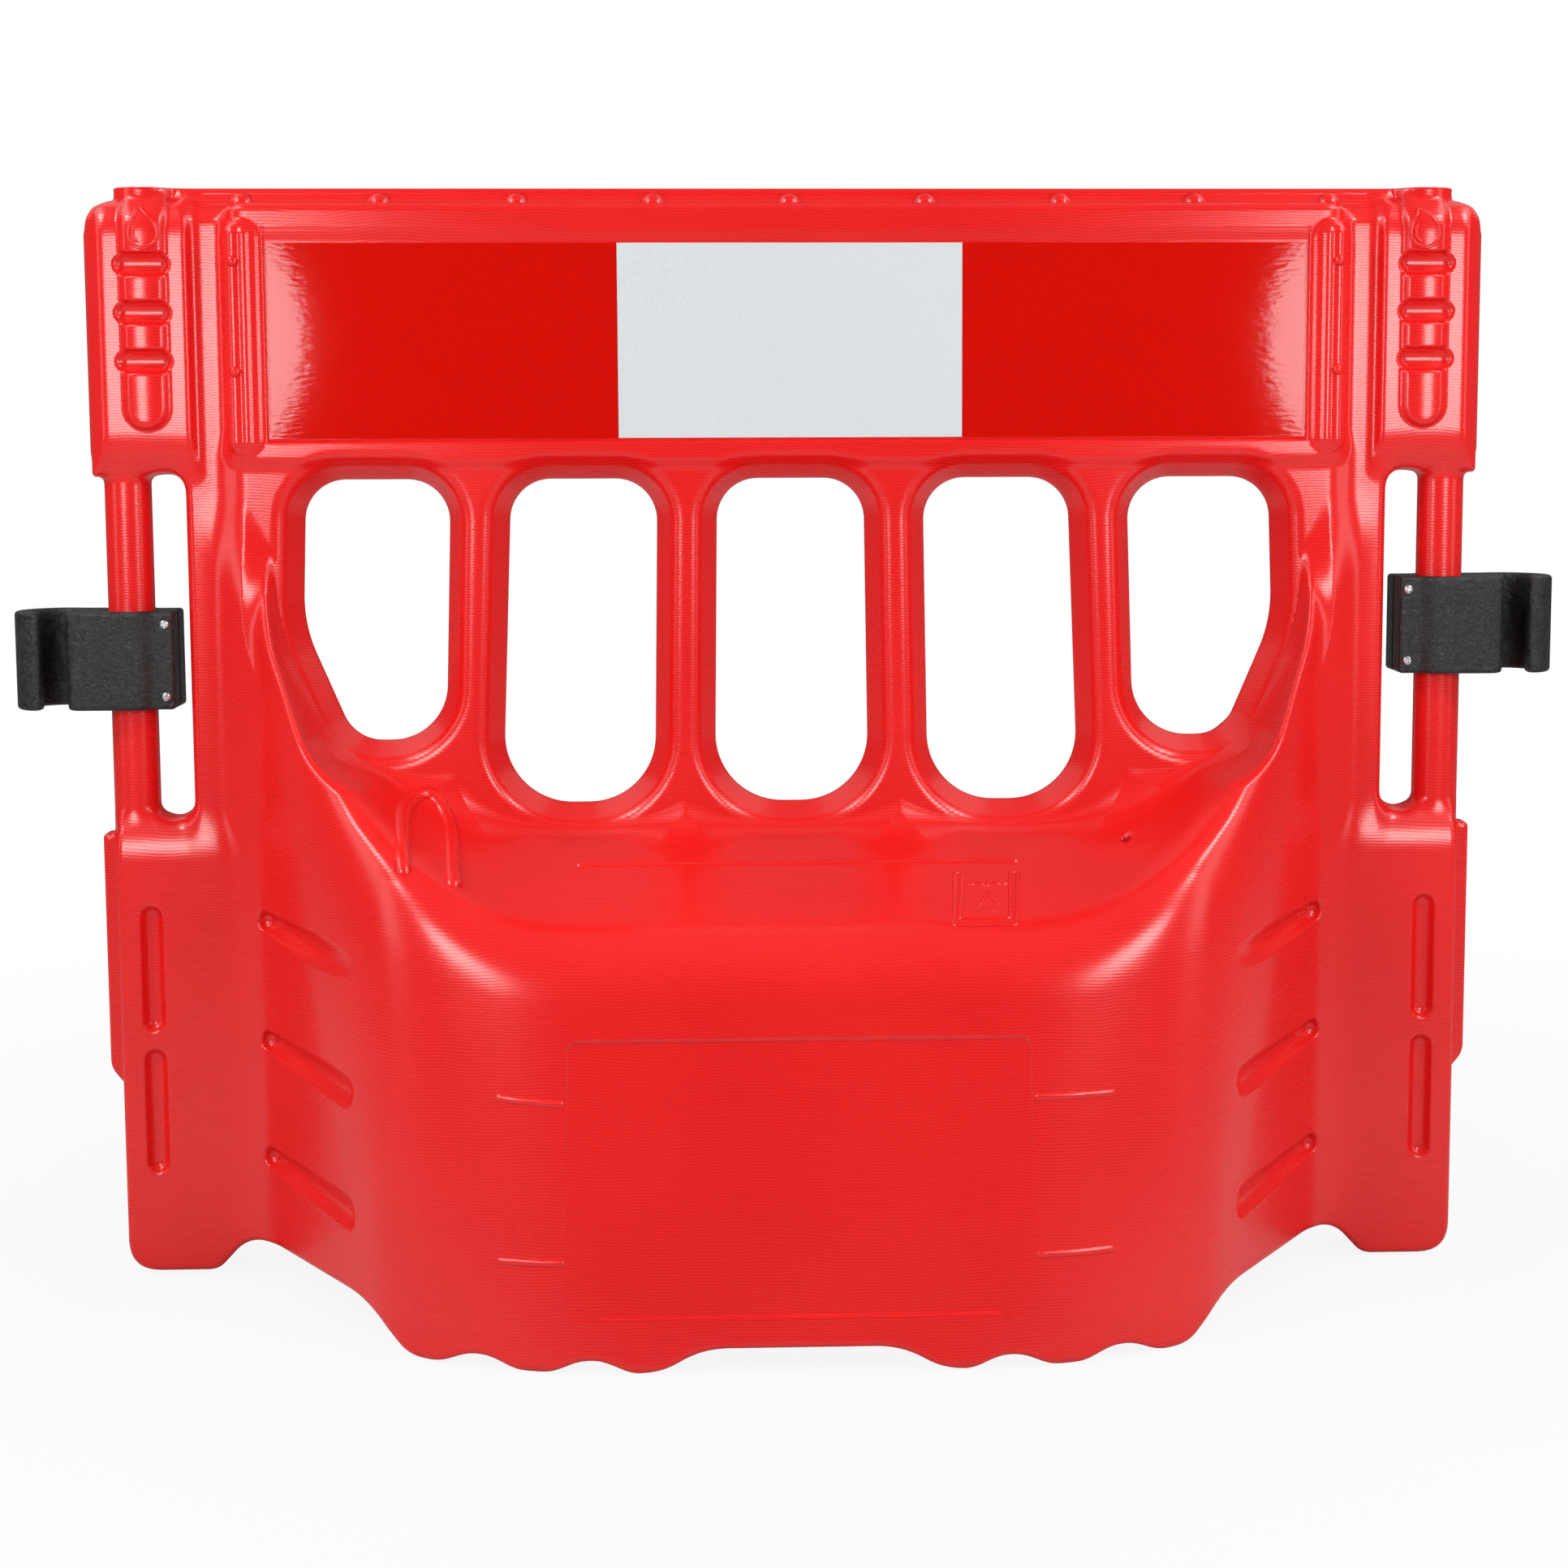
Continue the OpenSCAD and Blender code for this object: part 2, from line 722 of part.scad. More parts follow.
module barrier_body() {
  half = 1.5 * sheet_pitch + recess_m;
  color("red")
    difference() {
      outside();
      inside();
      windows();
      both_ends()
        slot();
      underside(0);
      pockets(0);
      flutes();
      both_faces() {
        box(
          [-half, -beam_half - over, sheet_z - recess_m],
          [half, recess_d - beam_half, sheet_z + sheet_h + recess_m]);
        along(-label_x, label_x)
          polygon([for (e = [[0, over], [0, -label_d], [label_h, -label_d], [label_h, over]])
            [foot_lean * (label_z + e[0]) - foot_half - e[1], label_z + e[0]]]);
      }
      translate([overflow_x, -overflow_y, overflow_z])
        rotate([45, 0, 0])
          cylinder(h = 6 * skin, r = overflow_r, center = true);
    }
}

// One sheet, i pitches from the middle, on the front face.
module sheet(i) {
  translate([i * sheet_pitch - sheet_l / 2, recess_d - beam_half - sheet_t, sheet_z])
    cube([sheet_l, sheet_t, sheet_h]);
}

module front_sheet_left_red() {
  color("firebrick")
    sheet(-1);
}

module front_sheet_white() {
  color("white")
    sheet(0);
}

module front_sheet_right_red() {
  color("firebrick")
    sheet(1);
}

// Left and right on the rear are as seen from the front.
module rear_sheet_left_red() {
  color("firebrick")
    rotate([0, 0, 180])
      sheet(1);
}

module rear_sheet_white() {
  color("white")
    rotate([0, 0, 180])
      sheet(0);
}

module rear_sheet_right_red() {
  color("firebrick")
    rotate([0, 0, 180])
      sheet(-1);
}

// Places a right-hand piece on the left or right tube.
module on_tube(side, z) {
  mirror([side < 0 ? 1 : 0, 0, 0])
    translate([tube_x, 0, z])
      children();
}

// A connector: clamp round the tube, ear with a slit, and a hook that opens to the front.
module connector() {
  block_out = hook_pitch - mouth_w / 2;
  edge = conn_half - block_r;
  difference() {
    union() {
      box([block_r - block_in, -conn_half, 0], [block_out - block_r, conn_half, conn_h]);
      box([-block_in, -edge, 0], [block_out, edge, conn_h]);
      for (x = [block_r - block_in, block_out - block_r])
        for (y = [-edge, edge])
          translate([x, y, 0])
            cylinder(h = conn_h, r = block_r);
      translate([hook_pitch, 0, 0])
        cylinder(h = conn_h, r = hook_out_r);
      box([-ear_x, -ear_half, 0], [-ear_root, ear_half, conn_h]);
    }
    translate([0, 0, -over]) {
      cylinder(h = conn_h + 2 * over, r = tube_r + run_gap);
      translate([hook_pitch, 0, 0])
        cylinder(h = conn_h + 2 * over, r = hook_r);
      box([block_out, -hook_out_r - over, 0], [block_out + mouth_w, 0, conn_h + 2 * over]);
      box([-hook_pitch, -slit_w / 2, 0], [0, slit_w / 2, conn_h + 2 * over]);
      box([0, -hook_out_r - over, 0], [2 * hook_pitch, -conn_half, conn_h + 2 * over]);
    }
    for (s = [-1, 1]) {
      rod(-screw_x, conn_h / 2 + s * screw_half, -ear_half - over, ear_half + over, screw_r + screw_gap);
      hexagon(s, nut_af / 2 + pocket_gap, ear_half - nut_t, ear_half + over);
    }
  }
}

// A hexagonal prism round a screw axis, h across half its flats.
module hexagon(s, h, y_low, y_high) {
  translate([-screw_x, y_low, conn_h / 2 + s * screw_half])
    rotate([-90, 0, 0])
      cylinder(h = y_high - y_low, r = h / cos(30), $fn = 6);
}

// s is 1 for the upper and -1 for the lower screw.
module screw(s) {
  z = conn_h / 2 + s * screw_half;
  rise = (head_r * head_r + head_h * head_h) / (2 * head_h);
  difference() {
    union() {
      rod(-screw_x, z, -ear_half - over, ear_half, screw_r);
      intersection() {
        rod(-screw_x, z, -ear_half - head_h, -ear_half, head_r);
        translate([-screw_x, rise - ear_half - head_h, z])
          sphere(r = rise);
      }
    }
    for (size = [[cross_w, cross_l], [cross_l, cross_w]])
      box(
        [-screw_x - size[0] / 2, -ear_half - head_h - over, z - size[1] / 2],
        [-screw_x + size[0] / 2, cross_d - ear_half - head_h, z + size[1] / 2]);
  }
}

module nut(s) {
  difference() {
    hexagon(s, nut_af / 2, ear_half - nut_t, ear_half);
    rod(-screw_x, conn_h / 2 + s * screw_half, 0, ear_half + over, screw_r + nut_gap);
  }
}

module left_connector() {
  color("black")
    on_tube(-1, left_z)
      connector();
}

module left_upper_screw() {
  color("silver")
    on_tube(-1, left_z)
      screw(1);
}

module left_lower_screw() {
  color("silver")
    on_tube(-1, left_z)
      screw(-1);
}

module left_upper_nut() {
  color("silver")
    on_tube(-1, left_z)
      nut(1);
}

module left_lower_nut() {
  color("silver")
    on_tube(-1, left_z)
      nut(-1);
}

module right_connector() {
  color("black")
    on_tube(1, right_z)
      connector();
}

module right_upper_screw() {
  color("silver")
    on_tube(1, right_z)
      screw(1);
}

module right_lower_screw() {
  color("silver")
    on_tube(1, right_z)
      screw(-1);
}

module right_upper_nut() {
  color("silver")
    on_tube(1, right_z)
      nut(1);
}

module right_lower_nut() {
  color("silver")
    on_tube(1, right_z)
      nut(-1);
}

barrier_body();
front_sheet_left_red();
front_sheet_white();
front_sheet_right_red();
rear_sheet_left_red();
rear_sheet_white();
rear_sheet_right_red();
left_connector();
left_upper_screw();
left_lower_screw();
left_upper_nut();
left_lower_nut();
right_connector();
right_upper_screw();
right_lower_screw();
right_upper_nut();
right_lower_nut();
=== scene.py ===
"""Pedestrian barrier panel: the moulded body, its sheets, connectors and clamp screws."""

import logging
import math
from dataclasses import dataclass, field
from enum import Enum
from typing import Callable, Sequence

import bmesh
import bpy
import numpy as np
from mathutils import Matrix, Vector

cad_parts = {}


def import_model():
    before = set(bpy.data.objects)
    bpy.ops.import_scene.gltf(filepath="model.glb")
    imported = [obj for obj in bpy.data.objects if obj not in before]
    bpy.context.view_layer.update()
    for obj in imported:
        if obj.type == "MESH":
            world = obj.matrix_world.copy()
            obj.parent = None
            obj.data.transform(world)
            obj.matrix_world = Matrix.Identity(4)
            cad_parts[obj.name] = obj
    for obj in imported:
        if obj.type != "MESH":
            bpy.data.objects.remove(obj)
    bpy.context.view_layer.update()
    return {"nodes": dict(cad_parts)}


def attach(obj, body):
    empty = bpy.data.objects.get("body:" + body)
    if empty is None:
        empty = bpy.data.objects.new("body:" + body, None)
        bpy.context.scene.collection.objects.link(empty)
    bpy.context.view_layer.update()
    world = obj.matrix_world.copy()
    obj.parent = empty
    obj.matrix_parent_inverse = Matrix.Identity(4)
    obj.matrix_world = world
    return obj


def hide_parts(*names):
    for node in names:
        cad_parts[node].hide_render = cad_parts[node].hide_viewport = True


LOG = logging.getLogger("barrier_panel")
MM = 0.001
Points = tuple[np.ndarray, np.ndarray, np.ndarray]
Distance = Callable[[Points], np.ndarray]
Triple = tuple[float, float, float]
Pair = tuple[float, float]
Socket = bpy.types.NodeSocket
WHITE = (1.0, 1.0, 1.0, 1.0)
# Radians that Blender's wave texture turns in one unit of its scale
WAVE_RATE = 20.0
# X from which a slab runs on past the middle, and a height that no flat outline reaches, in millimetres
PAST = -900.0
TALL = 99.0


class Side(Enum):
    """An end of the barrier, as seen from the front."""

    LEFT = -1
    RIGHT = 1


class Facing(Enum):
    """The way that a raised mark is laid on the skin: from the front or from above."""

    FRONT = (0.0, 1.0, 0.0)
    ROOF = (0.0, 0.0, -1.0)


# Small helpers


def linear(code: str) -> tuple[float, float, float, float]:
    """Turn an sRGB hex colour into linear values.

    Args:
        code: The colour, such as "#C80A00".

    Returns:
        Linear red, green and blue, with full alpha.
    """
    parts = [int(code[i:i + 2], 16) / 255 for i in (1, 3, 5)]
    red, green, blue = (p / 12.92 if p <= 0.04045 else ((p + 0.055) / 1.055) ** 2.4 for p in parts)
    return red, green, blue, 1.0


def set_inputs(tree: bpy.types.NodeTree, node: bpy.types.Node, inputs: dict) -> None:
    """Give a node's inputs their values or links.

    Args:
        tree: The tree that holds the node.
        node: The node.
        inputs: Values or sockets, by input name or index.
    """
    for key, value in inputs.items():
        if isinstance(value, Socket):
            tree.links.new(value, node.inputs[key])
        else:
            node.inputs[key].default_value = value


def add_node(tree: bpy.types.NodeTree, kind: str, inputs: dict | None = None, **settings) -> bpy.types.Node:
    """Add a node with its settings, input values and links.

    Args:
        tree: The tree that takes the node.
        kind: The node's type name.
        inputs: Values or sockets, by input name or index.
        settings: The node's own properties.

    Returns:
        The new node.
    """
    node = tree.nodes.new(kind)
    for name, value in settings.items():
        setattr(node, name, value)
    set_inputs(tree, node, inputs or {})
    return node


def new_object(name: str, mesh: bpy.types.Mesh) -> bpy.types.Object:
    """Link a mesh into the scene as an object at the origin.

    Args:
        name: The object's name.
        mesh: Its mesh, with its place in its points.

    Returns:
        The new object.
    """
    mesh.name = name
    obj = bpy.data.objects.new(name, mesh)
    bpy.context.scene.collection.objects.link(obj)
    return obj


def mesh_of(points: np.ndarray, faces: np.ndarray) -> bpy.types.Mesh:
    """Make a smooth-shaded mesh from points in millimetres.

    Args:
        points: One row per point.
        faces: One row of point numbers per face, all with the same count.

    Returns:
        The mesh, in metres.
    """
    mesh = bpy.data.meshes.new("piece")
    count, sides = faces.shape
    mesh.vertices.add(len(points))
    mesh.vertices.foreach_set("co", (points * MM).astype(np.float32).ravel())
    mesh.loops.add(count * sides)
    mesh.loops.foreach_set("vertex_index", faces.astype(np.int32).ravel())
    mesh.polygons.add(count)
    mesh.polygons.foreach_set("loop_start", np.arange(0, count * sides, sides, dtype=np.int32))
    mesh.polygons.foreach_set("use_smooth", np.ones(count, dtype=bool))
    mesh.update(calc_edges=True)
    mesh.validate()
    return mesh


def arrays_of(mesh: bpy.types.Mesh) -> tuple[np.ndarray, np.ndarray]:
    """Read a triangle mesh back into arrays.

    Args:
        mesh: A mesh in metres; its faces are split into triangles here.

    Returns:
        Points in millimetres and triangles.
    """
    work = bmesh.new()
    work.from_mesh(mesh)
    bmesh.ops.triangulate(work, faces=work.faces)
    work.to_mesh(mesh)
    work.free()
    points = np.empty(len(mesh.vertices) * 3, dtype=np.float32)
    mesh.vertices.foreach_get("co", points)
    faces = np.empty(len(mesh.loops), dtype=np.int32)
    mesh.loops.foreach_get("vertex_index", faces)
    return points.reshape(-1, 3).astype(np.float64) / MM, faces.reshape(-1, 3)


def evaluated(obj: bpy.types.Object) -> bpy.types.Mesh:
    """Turn an object with modifiers into a plain mesh and remove the object.

    Args:
        obj: The object to finish.

    Returns:
        The finished mesh.
    """
    graph = bpy.context.evaluated_depsgraph_get()
    graph.update()
    mesh = bpy.data.meshes.new_from_object(obj.evaluated_get(graph))
    bpy.data.objects.remove(obj)
    return mesh


class Body(Enum):
    """A body of the frame that pieces ride on."""

    BARRIER = "barrier"
    LEFT_HOOK = "left_hook_connector"
    RIGHT_HOOK = "right_hook_connector"


def dressed(name: str, mesh: bpy.types.Mesh, finish: bpy.types.Material, body: Body,
            nodes: Sequence[str] = ()) -> bpy.types.Object:
    """Put a finished mesh into the frame.

    Args:
        name: The piece's name.
        mesh: Its mesh, in metres.
        finish: Its material.
        body: The body that it rides on.
        nodes: CAD nodes that it stands in for.

    Returns:
        The new piece.
    """
    mesh.materials.clear()
    mesh.materials.append(finish)
    obj = new_object(name, mesh)
    if nodes:
        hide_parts(*nodes)
    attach(obj, body.value)
    return obj


def thinned(points: np.ndarray, faces: np.ndarray, triangles: int) -> tuple[np.ndarray, np.ndarray]:
    """Thin a dense mesh where it is flat.

    Args:
        points: Points in millimetres.
        faces: Faces of the dense mesh.
        triangles: About how many triangles to keep.

    Returns:
        Points and triangles of the thinned mesh.
    """
    obj = new_object("dense", mesh_of(points, faces))
    total = sum(len(f.vertices) - 2 for f in obj.data.polygons)
    thin = obj.modifiers.new("thin", "DECIMATE")
    thin.ratio = min(1.0, triangles / total)
    return arrays_of(evaluated(obj))


# Distance fields


def smooth_min(a: np.ndarray, b: np.ndarray, k: float | np.ndarray) -> np.ndarray:
    """Join two solids with a fillet that reaches k along each of them."""
    h = np.maximum(k - np.abs(a - b), 0.0)
    return np.minimum(a, b) - h * h / (4.0 * k)


def smooth_max(a: np.ndarray, b: np.ndarray, k: float | np.ndarray) -> np.ndarray:
    """Keep what two solids share, with the edge between them rounded over k."""
    return -smooth_min(-a, -b, k)


def rounded_box(p: Points, low: Triple, high: Triple, r: float) -> np.ndarray:
    """Distance to a box with rounded edges.

    Args:
        p: Where to measure.
        low: Lowest corner.
        high: Highest corner.
        r: Radius of the edges.

    Returns:
        Signed distances, negative inside.
    """
    q = [np.abs(c - (lo + hi) / 2) - ((hi - lo) / 2 - r) for c, lo, hi in zip(p, low, high)]
    out = np.sqrt(sum(np.maximum(c, 0.0) ** 2 for c in q))
    return out + np.minimum(np.maximum(np.maximum(q[0], q[1]), q[2]), 0.0) - r


def plane_through(a: Triple, b: Triple, c: Triple, inner: Triple) -> tuple[Vector, float]:
    """The plane through three points, facing away from an inner point.

    Args:
        a: First point.
        b: Second point.
        c: Third point.
        inner: A point on the solid's side.

    Returns:
        The plane's normal and its distance from the origin.
    """
    normal = (Vector(b) - Vector(a)).cross(Vector(c) - Vector(a)).normalized()
    if normal.dot(Vector(inner) - Vector(a)) > 0:
        normal = -normal
    return normal, normal.dot(Vector(a))


def faces_round(inner: Triple, *corners: tuple[Triple, Triple, Triple]) -> list[tuple[Vector, float]]:
    """Planes through three points each, all facing away from an inner point."""
    return [plane_through(*three, inner) for three in corners]


def across(point: Triple) -> Triple:
    """The same point at the barrier's other end."""
    return -point[0], point[1], point[2]


def slanted(u: np.ndarray, v: np.ndarray, a: float, b: float) -> np.ndarray:
    """Distance past a slanted plane.

    Args:
        u: Distance from a point of the plane along one direction.
        v: Distance from that point along another.
        a: How far the plane's normal leans to the first direction.
        b: How far it leans to the second.

    Returns:
        Signed distances, negative inside.
    """
    return (u * a + v * b) / math.hypot(a, b)


def convex(p: Points, planes: Sequence[tuple[Vector, float]], rounds: Sequence[float]) -> np.ndarray:
    """Distance to a convex solid with rounded edges.

    Args:
        p: Where to measure.
        planes: Its faces.
        rounds: Rounding of each face against the faces before it.

    Returns:
        Signed distances, negative inside.
    """
    total = None
    for (n, d), k in zip(planes, rounds):
        one = p[0] * n[0] + p[1] * n[1] + p[2] * n[2] - d
        total = one if total is None else smooth_max(total, one, k)
    return total


def capsule(p: Points, a: Triple, b: Triple, ra: float, rb: float) -> np.ndarray:
    """Distance to a rod with round ends whose radius runs from ra to rb.

    Args:
        p: Where to measure.
        a: Middle of the first end.
        b: Middle of the second end.
        ra: Radius at the first end.
        rb: Radius at the second end.

    Returns:
        Signed distances, negative inside.
    """
    run = Vector(b) - Vector(a)
    size = run.length_squared
    t = sum((c - s) * r for c, s, r in zip(p, a, run)) / size
    t = np.clip(t, 0.0, 1.0)
    gap = np.sqrt(sum((c - s - t * r) ** 2 for c, s, r in zip(p, a, run)))
    return gap - (ra + (rb - ra) * t)


def gradient(distance: Distance, points: np.ndarray, step: float) -> np.ndarray:
    """Slope of a distance field.

    Args:
        distance: The field.
        points: One row per point.
        step: Reach of the difference, in millimetres.

    Returns:
        One slope per point.
    """
    slope = np.empty_like(points)
    for axis in range(3):
        move = np.zeros(3)
        move[axis] = step
        high = distance(tuple((points + move).T))
        low = distance(tuple((points - move).T))
        slope[:, axis] = (high - low) / (2 * step)
    return slope


def on_skin(distance: Distance, points: np.ndarray, step: float) -> np.ndarray:
    """Move points that are near a surface onto it.

    Args:
        distance: The surface's field.
        points: One row per point.
        step: Reach of the slope, in millimetres.

    Returns:
        The moved points.
    """
    slope = gradient(distance, points, step)
    size = np.maximum((slope ** 2).sum(1), 0.1)
    return points - slope * (distance(tuple(points.T)) / size)[:, None]


def shade_by_field(mesh: bpy.types.Mesh, distance: Distance, step: float = 0.6) -> None:
    """Shade a mesh with the slope of the field that it was made from.

    Args:
        mesh: The mesh, in metres.
        distance: Its field, in millimetres.
        step: Reach of the slope, in millimetres.
    """
    points = np.empty(len(mesh.vertices) * 3, dtype=np.float32)
    mesh.vertices.foreach_get("co", points)
    slope = gradient(distance, points.reshape(-1, 3).astype(np.float64) / MM, step)
    slope /= np.maximum(np.linalg.norm(slope, axis=1), 1e-6)[:, None]
    mesh.normals_split_custom_set_from_vertices(slope.tolist())


def laid(distance: Distance, points: np.ndarray, facing: Facing, moves: int = 60, pace: float = 0.8,
         step: float = 3.0) -> tuple[np.ndarray, np.ndarray]:
    """Drop points straight onto a surface.

    Args:
        distance: The surface's field.
        points: One row per point, off the surface.
        facing: The way they drop.
        moves: How many moves the drop takes.
        pace: Share of the remaining gap that each move takes.
        step: Reach of the slope, in millimetres.

    Returns:
        The points on the surface, and its outward normals there.
    """
    run = np.array(facing.value)
    for _ in range(moves):
        points = points + run * pace * distance(tuple(points.T))[:, None]
    slope = gradient(distance, points, step)
    return points, slope / np.linalg.norm(slope, axis=1)[:, None]


@dataclass
class SurfaceNet:
    """Turns a distance field into a mesh of quads, working only near the surface.

    Attributes:
        low: Lowest corner of the space.
        high: Highest corner of the space.
        cell: Size of a cell, in millimetres.
        block: Cells along a block.
        slack: How far a field may be from a true distance.
        chunk: Blocks that are measured together.
    """

    low: Triple
    high: Triple
    cell: float
    block: int = 8
    slack: float = 1.25
    chunk: int = 300

    def blocks(self, distance: Distance) -> np.ndarray:
        """Find the blocks that the surface may cross.

        Args:
            distance: The field.

        Returns:
            One row of block numbers per block.
        """
        size = self.block * self.cell
        counts = [int(math.ceil((h - lo) / size)) for lo, h in zip(self.low, self.high)]
        grid = np.stack(np.meshgrid(*[np.arange(c) for c in counts], indexing="ij"), -1).reshape(-1, 3)
        middle = np.array(self.low) + (grid + 0.5) * size
        gap = distance(tuple(middle.astype(np.float32).T))
        return grid[np.abs(gap) < self.slack * size * math.sqrt(3) / 2]

    @staticmethod
    def crossing(at: dict[tuple[int, ...], np.ndarray]) -> np.ndarray:
        """Average the places where the surface crosses the edges of each cell.

        Args:
            at: The field at each corner of the cells.

        Returns:
            One place per cell, as shares of the cell.
        """
        size = len(at[0, 0, 0])
        total = np.zeros((size, 3), dtype=np.float64)
        count = np.zeros(size)
        for key, v in at.items():
            for axis in range(3):
                if key[axis]:
                    continue
                w = at[key[:axis] + (1,) + key[axis + 1:]]
                cross = (v < 0) != (w < 0)
                spot = np.tile(np.array(key, dtype=np.float64), (size, 1))
                spot[:, axis] = v / np.where(cross, v - w, 1.0)
                total[cross] += spot[cross]
                count[cross] += 1
        return total / count[:, None]

    def cells(self, distance: Distance, blocks: np.ndarray) -> tuple[np.ndarray, np.ndarray, np.ndarray]:
        """Find every cell that the surface crosses.

        Args:
            distance: The field.
            blocks: Blocks to look in.

        Returns:
            Cell numbers, a point in each, and for each axis whether the surface crosses the
            cell's first edge (1 outward, -1 inward, 0 not).
        """
        n = self.block
        local = np.arange(n + 1)
        knots = np.stack(np.meshgrid(local, local, local, indexing="ij"), -1).reshape(1, -1, 3)
        found, spots, crossings = [], [], []
        for start in range(0, len(blocks), self.chunk):
            first = blocks[start:start + self.chunk] * n
            place = (np.array(self.low) + (first[:, None, :] + knots) * self.cell).astype(np.float32)
            value = distance((place[..., 0], place[..., 1], place[..., 2]))
            value = value.reshape(-1, n + 1, n + 1, n + 1)
            corner = {(i, j, k): value[:, i:n + i, j:n + j, k:n + k] for i, j, k in np.ndindex(2, 2, 2)}
            inside = sum((c < 0).astype(np.int8) for c in corner.values())
            b, i, j, k = np.nonzero((inside > 0) & (inside < len(corner)))
            at = {key: c[b, i, j, k] for key, c in corner.items()}
            within = {key: (v < 0).astype(np.int8) for key, v in at.items()}
            cell = first[b] + np.stack((i, j, k), -1)
            found.append(cell)
            spots.append(np.array(self.low) + (cell + self.crossing(at)) * self.cell)
            ends = ((1, 0, 0), (0, 1, 0), (0, 0, 1))
            crossings.append(np.stack([within[0, 0, 0] - within[end] for end in ends], -1))
        return np.concatenate(found), np.concatenate(spots), np.concatenate(crossings)

    def quads(self, distance: Distance) -> tuple[np.ndarray, np.ndarray]:
        """Build the mesh.

        Args:
            distance: The field.

        Returns:
            Points in millimetres and quads that face outward.
        """
        cell, spot, cross = self.cells(distance, self.blocks(distance))
        reach = int(cell.max()) + 2
        key = (cell[:, 0].astype(np.int64) * reach + cell[:, 1]) * reach + cell[:, 2]
        order = np.argsort(key)
        key, cell, spot, cross = key[order], cell[order], spot[order], cross[order]
        faces = []
        for axis in range(3):
            u, v = (axis + 1) % 3, (axis + 2) % 3
            rows = np.nonzero(cross[:, axis])[0]
            rows = rows[(cell[rows, u] > 0) & (cell[rows, v] > 0)]
            step = (reach * reach, reach, 1)
            ring = [key[rows] - a * step[u] - b * step[v] for a, b in ((1, 1), (0, 1), (0, 0), (1, 0))]
            spots = np.stack([np.minimum(np.searchsorted(key, r), len(key) - 1) for r in ring], -1)
            whole = np.all(np.stack([key[spots[:, n]] == ring[n] for n in range(4)], -1), axis=1)
            spots, out = spots[whole], cross[rows[whole], axis] > 0
            faces.append(np.where(out[:, None], spots, spots[:, ::-1]))
        return spot, np.concatenate(faces)


# Finishes


class Shading:
    """A material while it is built: its main shader, and the nodes that the finishes share."""

    def __init__(self, name: str) -> None:
        """Start a material.

        Args:
            name: The material's name.
        """
        self.material = bpy.data.materials.new(name)
        self.material.use_nodes = True
        self.tree = self.material.node_tree
        self.shader = self.tree.nodes["Principled BSDF"]
        self.here = add_node(self.tree, "ShaderNodeTexCoord").outputs

    def noise(self, size_mm: float, detail: float, **more) -> Socket:
        """Make cloudy noise.

        Args:
            size_mm: Size of its clouds.
            detail: How much finer noise it carries.
            more: Other inputs, by name.

        Returns:
            Its value.
        """
        inputs = {"Vector": self.here["Object"], "Scale": 1 / (size_mm * MM), "Detail": detail}
        return add_node(self.tree, "ShaderNodeTexNoise", inputs | more).outputs["Fac"]

    def cells(self, size_mm: float, feature: str) -> Socket:
        """Make a pattern of cells.

        Args:
            size_mm: Size of a cell.
            feature: What is measured in it.

        Returns:
            The distance that was measured.
        """
        inputs = {"Vector": self.here["Object"], "Scale": 1 / (size_mm * MM)}
        return add_node(self.tree, "ShaderNodeTexVoronoi", inputs, feature=feature).outputs["Distance"]

    def ramp(self, value: Socket, start: Pair = (0.0, 1.0), end: Pair = (0.0, 1.0)) -> Socket:
        """Map one range of values onto another.

        Args:
            value: What to map.
            start: The range that it comes from.
            end: The range that it goes to.

        Returns:
            The mapped value.
        """
        return add_node(self.tree, "ShaderNodeMapRange", {
            "Value": value, "From Min": start[0], "From Max": start[1],
            "To Min": end[0], "To Max": end[1]}).outputs[0]

    def maths(self, operation: str, *values: Socket | float) -> Socket:
        """Work out one sum of values."""
        return add_node(self.tree, "ShaderNodeMath", dict(enumerate(values)), operation=operation).outputs[0]

    def blend(self, share: Socket, first: str, second: str) -> Socket:
        """Blend two sRGB hex colours."""
        return add_node(self.tree, "ShaderNodeMix", {
            0: share, 6: linear(first), 7: linear(second)}, data_type="RGBA").outputs[2]

    def bump(self, height: Socket, strength: float, reach_mm: float, **more: Socket) -> Socket:
        """Lean the surface by a height.

        Args:
            height: The height.
            strength: How much of it is used.
            reach_mm: How far a height of 1 stands out.
            more: Other inputs, by name.

        Returns:
            The leaning normal.
        """
        inputs = {"Height": height, "Strength": strength, "Distance": reach_mm * MM}
        return add_node(self.tree, "ShaderNodeBump", inputs | more).outputs[0]

    def finished(self, inputs: dict) -> bpy.types.Material:
        """Give the main shader its inputs and hand over the material."""
        set_inputs(self.tree, self.shader, inputs)
        return self.material


